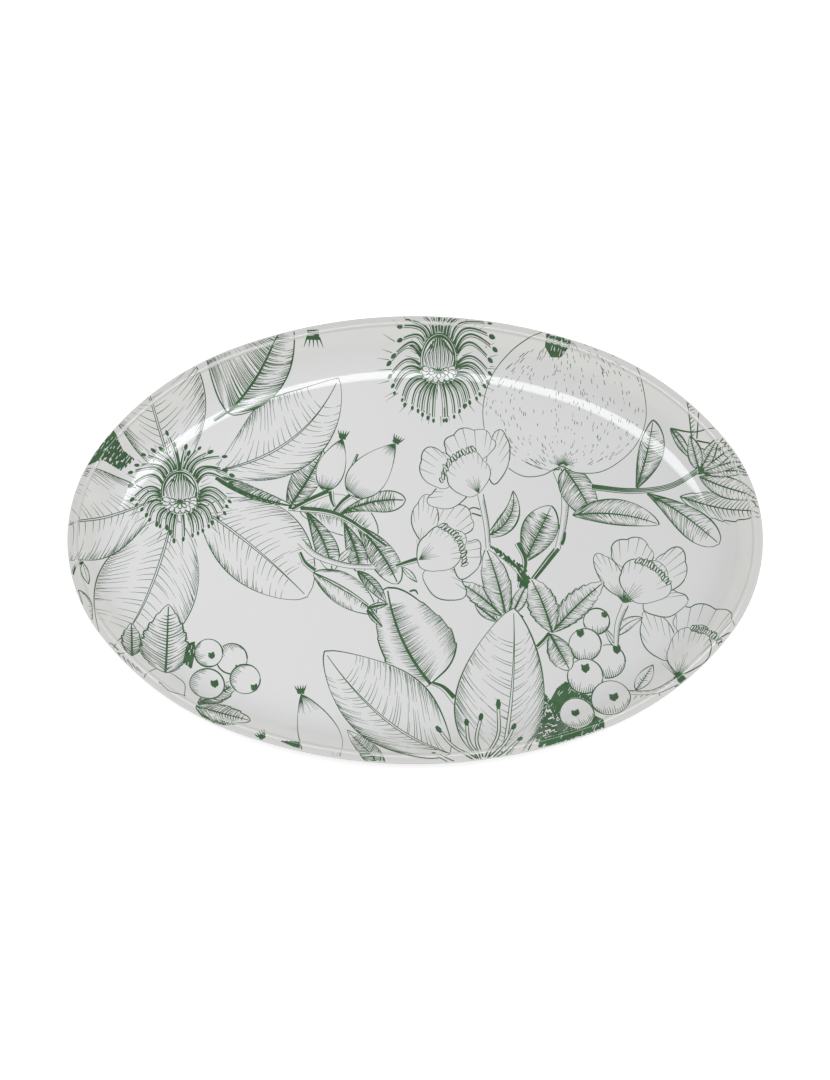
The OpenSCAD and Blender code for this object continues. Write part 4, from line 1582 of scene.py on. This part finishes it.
def rim_branch(sheet: Sheet) -> None:
    """Draws the small spray at the right rim."""
    hub = (148, 40)
    sheet.fill(Blob(hub, 2.6, 2.0).edge(), 0.5, 30)
    for start, stop in (((144, 55), (141, 76)), ((146.5, 55), (148, 76)), ((156, 48), (166, 62)),
                        ((158, 47), (170, 60))):
        sheet.line([start, stop], (0.7, 0.5))
    for k in range(9):
        sheet.line([(143.4 - 0.2 * k, 56 + 2 * k), (145.4, 57.5 + 2 * k)], (0.6, 0.2))
    look = {"hatch": Hatch.BOTH, "rib": 0.8, "reach": 0.55, "strokes": 15, "pen": 0.5}
    sheet.draw(
        Blade(hub, (143, 57), 3.4, 3.4, **look),
        Blade(hub, (157, 53), 3.4, 3.4, **look),
        Blade(hub, (170, 50), 3.4, 3.6, **look),
        Blade(hub, (176, 41), 3.0, 3.2, **look),
        Blade(hub, (176, 34), 2.4, 2.6, **look),
        Blade((148, 37), (180, 19), 4.6, 4.6, **look),
        Blade((133, 62), (144, 46), 2.2, 1.8, **look),
    )
    for path in (((133, 62), (147, 58), (163, 61)), ((133, 62), (141, 54), (156, 47)),
                 ((144, 55), (156, 51), (166, 52))):
        sheet.line(curve(path), (0.8, 0.4))
    sheet.fill(((166, 46), (172, 50), (178, 36), (171, 39)), 0.55, 50, gaps=0.5)
    Blade((138, 27), (181, 12), 8.0, 6.6, 0, 0.5, 0.7, 7, 0.16, hatch=Hatch.RIB, rib=0.9,
          reach=0.85, strokes=18, slant=0.3, weight=1.2).draw(sheet)


def serrated_leaves(sheet: Sheet) -> None:
    """Draws the toothed leaves right of the middle and the branch above them."""
    sheet.fill(((38, 1), (43, -1), (51, -7), (57, -11), (60, -17), (58, -23), (53, -19),
                (53, -12), (46, -7)), 0.7, 120, gaps=0.35)
    sheet.draw(
        Stem(((38, 0), (49, -8), (59, -20)), 2.4, 2.4, False),
        Stem(((53, 2), (57, -8), (54, -22)), 2.6, 1.8),
    )
    look = {"hatch": Hatch.BOTH, "rib": 1.2, "reach": 0.5, "slant": 0.2, "pen": 0.5,
            "weight": 0.85}
    sheet.draw(
        Blade((47, -38), (37, -1), 8.2, 6.6, -1, 0.5, 0.7, 4, 0.1, strokes=44, **look),
        Blade((50, -37), (58, -20), 3.4, 3.6, 0, 0.5, strokes=22, **look),
        Blade((46, -38), (23, -19), 5.4, 5.2, -1, 0.55, 0.8, 6, 0.22, strokes=34, **look),
        Blade((44, -41), (31, -31), 2.6, 3.0, 0, 0.55, strokes=18, **look),
        Stem(((46, -38), (52, -36), (56, -38)), 2.2, 1.2),
        Blade((71, -46), (60, -17), 8.4, 7.6, -1, 0.5, 0.7, 7, 0.16, strokes=42, **look),
        Blade((71, -46), (98, -19), 7.8, 6.8, 1, 0.5, 0.75, 9, 0.2, strokes=44, **look),
        Blade((70, -47), (80, -66), 6.4, 6.8, 0, 0.55, 0.6, 5, 0.16, strokes=34, **look),
        Stem(((62, -55), (67, -50), (71, -45)), 1.8, 2.4),
    )


def right_berries(sheet: Sheet) -> None:
    """Draws the six berries at the lower right and the dark leaves behind them."""
    sheet.draw(
        Berry((83.5, -91.5), 8.8, (-0.1, 0.15), -70, 1.16, 14),
        Berry((101, -83), 10.0, (0.15, 0.12), -80, 1.1, 10),
        Berry((88, -69.5), 9.2, (0.0, 0.5), -100),
        Berry((88, -52.5), 8.4, (-0.3, 0.75), -85),
        Berry((100, -61.5), 8.8, (0.5, 0.75), -75),
        Berry((94, -40), 6.8, (0.6, 0.55), -90),
    )
    dark = ((66, -77), (70, -82), (73, -76), (78, -72), (82, -75), (86, -79), (92, -80),
            (91, -92), (97, -97), (98, -104), (112, -99), (97, -108), (80, -112), (62, -117),
            (64, -108), (73, -104), (76, -97), (72, -88), (66, -82))
    sheet.fill(dark, 0.5, 62, gaps=0.06)
    light = ((66, -83), (73, -87), (77, -98), (73, -106), (62, -109), (63, -95))
    sheet.fill(light, 0.7, 70, gaps=0.9)
    sheet.fill(light, 1.4, 22, gaps=0.8)


SPRAYS = (
    ("PrintStarFlower", "print_star_flower", star_flower),
    ("PrintCrestFlower", "print_crest_flower", crest_flower),
    ("PrintClosedBud", "print_closed_bud", closed_bud),
    ("PrintLeftBerries", "print_left_berries", left_berries),
    ("PrintLily", "print_lily", lily),
    ("PrintRosehips", "print_rosehips", rosehips),
    ("PrintFoldedLeaf", "print_folded_leaf", folded_leaf),
    ("PrintRimCalyx", "print_rim_calyx", rim_calyx),
    ("PrintStarFlower", "print_star_flower", star_petals),
    ("PrintLobedLeaf", "print_lobed_leaf", lobed_leaf),
    ("PrintBottomHip", "print_bottom_hip", bottom_hip),
    ("PrintTwinPeonies", "print_twin_peonies", twin_peonies),
    ("PrintHeartLeaf", "print_heart_leaf", heart_leaf),
    ("PrintBigFruit", "print_big_fruit", big_fruit),
    ("PrintSerratedLeaves", "print_serrated_leaves", serrated_leaves),
    ("PrintRightBerries", "print_right_berries", right_berries),
    ("PrintRightPeony", "print_right_peony", right_peony),
    ("PrintCornerPeony", "print_corner_peony", corner_peony),
    ("PrintFruitLeaves", "print_fruit_leaves", fruit_leaves),
    ("PrintRimBranch", "print_rim_branch", rim_branch),
)


# ---------------------------------------------------------------- the platter and its studio

@dataclass
class Biscuit:
    """The fired clay body under the glaze, with its foot ring."""

    ware: Ware

    def build(self) -> bpy.types.Object:
        """Builds the body and ties it to its CAD piece."""
        cut = self.ware.section
        top = cut.floor - cut.wall + cut.glaze
        face = cut.face(cut.glaze)
        under = np.array([
            [cut.core, top], [cut.foot(True, top), top], [cut.foot(True, 0), 0],
            [cut.foot(False, 0), 0], [cut.foot(False, top), top],
        ])
        ring = np.concatenate([face, under, cut.back(cut.glaze)[:0:-1]])
        body = self.ware.loft("ClayBody", ring, (len(face) - 1, len(face)))
        return tie(body, "clay_body")


@dataclass
class GlazeCoats:
    """The clear glaze: one coat on the face, one on the back and one inside the foot ring."""

    ware: Ware

    def build(self) -> list[bpy.types.Object]:
        """Builds the three coats and ties them to their CAD pieces."""
        cut = self.ware.section
        under = cut.floor - cut.wall
        top, dry, thick = under + cut.glaze, cut.dry_foot, cut.glaze
        face = cut.face(0)
        front = self.ware.loft("FaceGlaze", np.concatenate([face, cut.face(thick)[::-1]]),
                               (len(face) - 1, len(face)))
        outer = np.array([
            [cut.foot(False, under) - thick, under], [cut.foot(False, dry) - thick, dry],
            [cut.foot(False, dry), dry], [cut.foot(False, top), top],
        ])
        back = self.ware.loft("BackGlaze", np.concatenate(
            [cut.back(0), outer, cut.back(thick)[::-1]]))
        inner = np.array([
            [cut.foot(True, dry), dry], [cut.foot(True, dry) + thick, dry],
            [cut.foot(True, under) + thick, under], [cut.core, under],
            [cut.core, top], [cut.foot(True, top), top],
        ])
        recess = self.ware.loft("RecessGlaze", inner, (3, 4))
        return [tie(front, "face_glaze"), tie(back, "back_glaze"),
                tie(recess, "recess_glaze")]


@dataclass
class Transfer:
    """The printed sprays, each laid on the face glaze as one piece."""

    ware: Ware

    def build(self) -> list[bpy.types.Object]:
        """Draws every spray from front to back and presses it on."""
        sheet = Sheet(self.ware)
        nodes = {}
        for name, node, draw in SPRAYS:
            sheet.begin(name)
            draw(sheet)
            nodes[name] = node
        return [tie(Maker.quads(name, *sheet.pressed(name)), node)
                for name, node in nodes.items()]


def tie(piece: bpy.types.Object, node: str) -> bpy.types.Object:
    """Puts a piece in the place of its CAD node, on the platter's body."""
    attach(piece, BODY)
    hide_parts(node)
    return piece


@dataclass
class Studio:
    """White sweep, one large soft light overhead and the camera.

    Attributes:
        elevation: the camera's height angle.
        distance: from the camera to the platter's middle, in metres.
        frame: width that the camera's long side spans at that distance, in metres.
        aim: the point that the camera looks at.
        lamp_height: height of the soft light.
        lamp_x: its two ends.
        lamp_y: its near and far edges.
        fade: depth over which it dims towards the far edge.
        glow: its brightness.
        tint: its colour.
        ambient: brightness of the white room.
        reach: half the width of the floor.
        paper: the floor's lightness.
        lift: the floor's own faint light, which keeps it white to the edges.
    """

    SENSOR = 36.0

    elevation: float = math.radians(75.04)
    distance: float = 4.0
    frame: float = 0.5590
    aim: tuple[float, float, float] = (-0.0001, -0.0012, 0.0252)
    lamp_height: float = 4.6
    lamp_x: Point = (-2.53, 3.22)
    lamp_y: Point = (-1.22, 0.56)
    fade: float = 0.60
    glow: float = 5.4
    tint: Colour = (0.965, 0.985, 1.0)
    ambient: float = 0.66
    reach: float = 6.0
    paper: float = 0.93
    lift: float = 0.35

    def plane(self, name: str, x: Point, y: Point, z: float) -> bpy.types.Object:
        """Makes a flat rectangle, sizes in metres."""
        spots = np.array([[x[0], y[0], z], [x[1], y[0], z], [x[1], y[1], z], [x[0], y[1], z]])
        piece = Maker.solid(name, spots / MM, [(0, 1, 2, 3)])
        return piece

    def sweep(self) -> None:
        """Lays the white floor."""
        across = (-self.reach, self.reach)
        floor = self.plane("Floor", across, across, 0.0)
        floor.visible_diffuse = floor.visible_glossy = False
        paper = Recipe("white_paper")
        paper.set(Base_Color=(self.paper, self.paper, self.paper, 1), Roughness=0.9,
                  Emission_Color=(1, 1, 1, 1), Emission_Strength=self.lift)
        floor.data.materials.append(paper.material)

    def lamp(self) -> None:
        """Hangs the soft light, brightest near the camera and dimming towards the far edge."""
        box = self.plane("SoftLight", self.lamp_x, self.lamp_y, self.lamp_height)
        box.visible_camera = False
        cloth = Recipe("soft_light")
        axes = cloth.add("ShaderNodeSeparateXYZ", Vector=cloth.place)
        far = Value(cloth.tree, axes.outputs[1])
        dim = 1.0 - far.above(self.lamp_y[1] - self.fade / 2, self.fade / 2)
        cloth.set(Base_Color=(0, 0, 0, 1), Roughness=1.0, Specular_IOR_Level=0.0,
                  Emission_Color=cloth.blend(dim, (0, 0, 0), self.tint),
                  Emission_Strength=self.glow)
        box.data.materials.append(cloth.material)

    def room(self) -> None:
        """Sets the white surroundings."""
        world = bpy.data.worlds.new("Room")
        bpy.context.scene.world = world
        world.use_nodes = True
        back = world.node_tree.nodes["Background"]
        back.inputs["Color"].default_value = (1, 1, 1, 1)
        back.inputs["Strength"].default_value = self.ambient

    def camera(self) -> None:
        """Places the camera in front of and above the platter."""
        data = bpy.data.cameras.new("Camera")
        data.sensor_fit = "AUTO"
        data.sensor_width = self.SENSOR
        data.lens = self.SENSOR * self.distance / self.frame
        data.clip_start, data.clip_end = 0.1, 50.0
        eye = bpy.data.objects.new("Camera", data)
        bpy.context.scene.collection.objects.link(eye)
        eye.location = (self.aim[0], self.aim[1] - self.distance * math.cos(self.elevation),
                        self.aim[2] + self.distance * math.sin(self.elevation))
        eye.rotation_euler = (math.pi / 2 - self.elevation, 0, 0)
        bpy.context.scene.camera = eye

    def build(self) -> None:
        """Builds floor, light, room and camera."""
        self.sweep()
        self.lamp()
        self.room()
        self.camera()
        bpy.context.scene.view_settings.view_transform = "Standard"


def main() -> None:
    """Builds the platter, its print and the studio, in that order."""
    logging.basicConfig(level=logging.INFO, format="%(message)s")
    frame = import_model()
    ware = Ware(Oval(), Section())
    clay, clear, ink = Bisque().make(), Glaze().make(), Ink().make()

    groups = (([Biscuit(ware).build()], clay), (GlazeCoats(ware).build(), clear),
              (Transfer(ware).build(), ink))
    for pieces, material in groups:
        for piece in pieces:
            piece.data.materials.append(material)
            log.info("%s: %d faces", piece.name, len(piece.data.polygons))

    Studio().build()


if __name__ == "__main__":
    main()
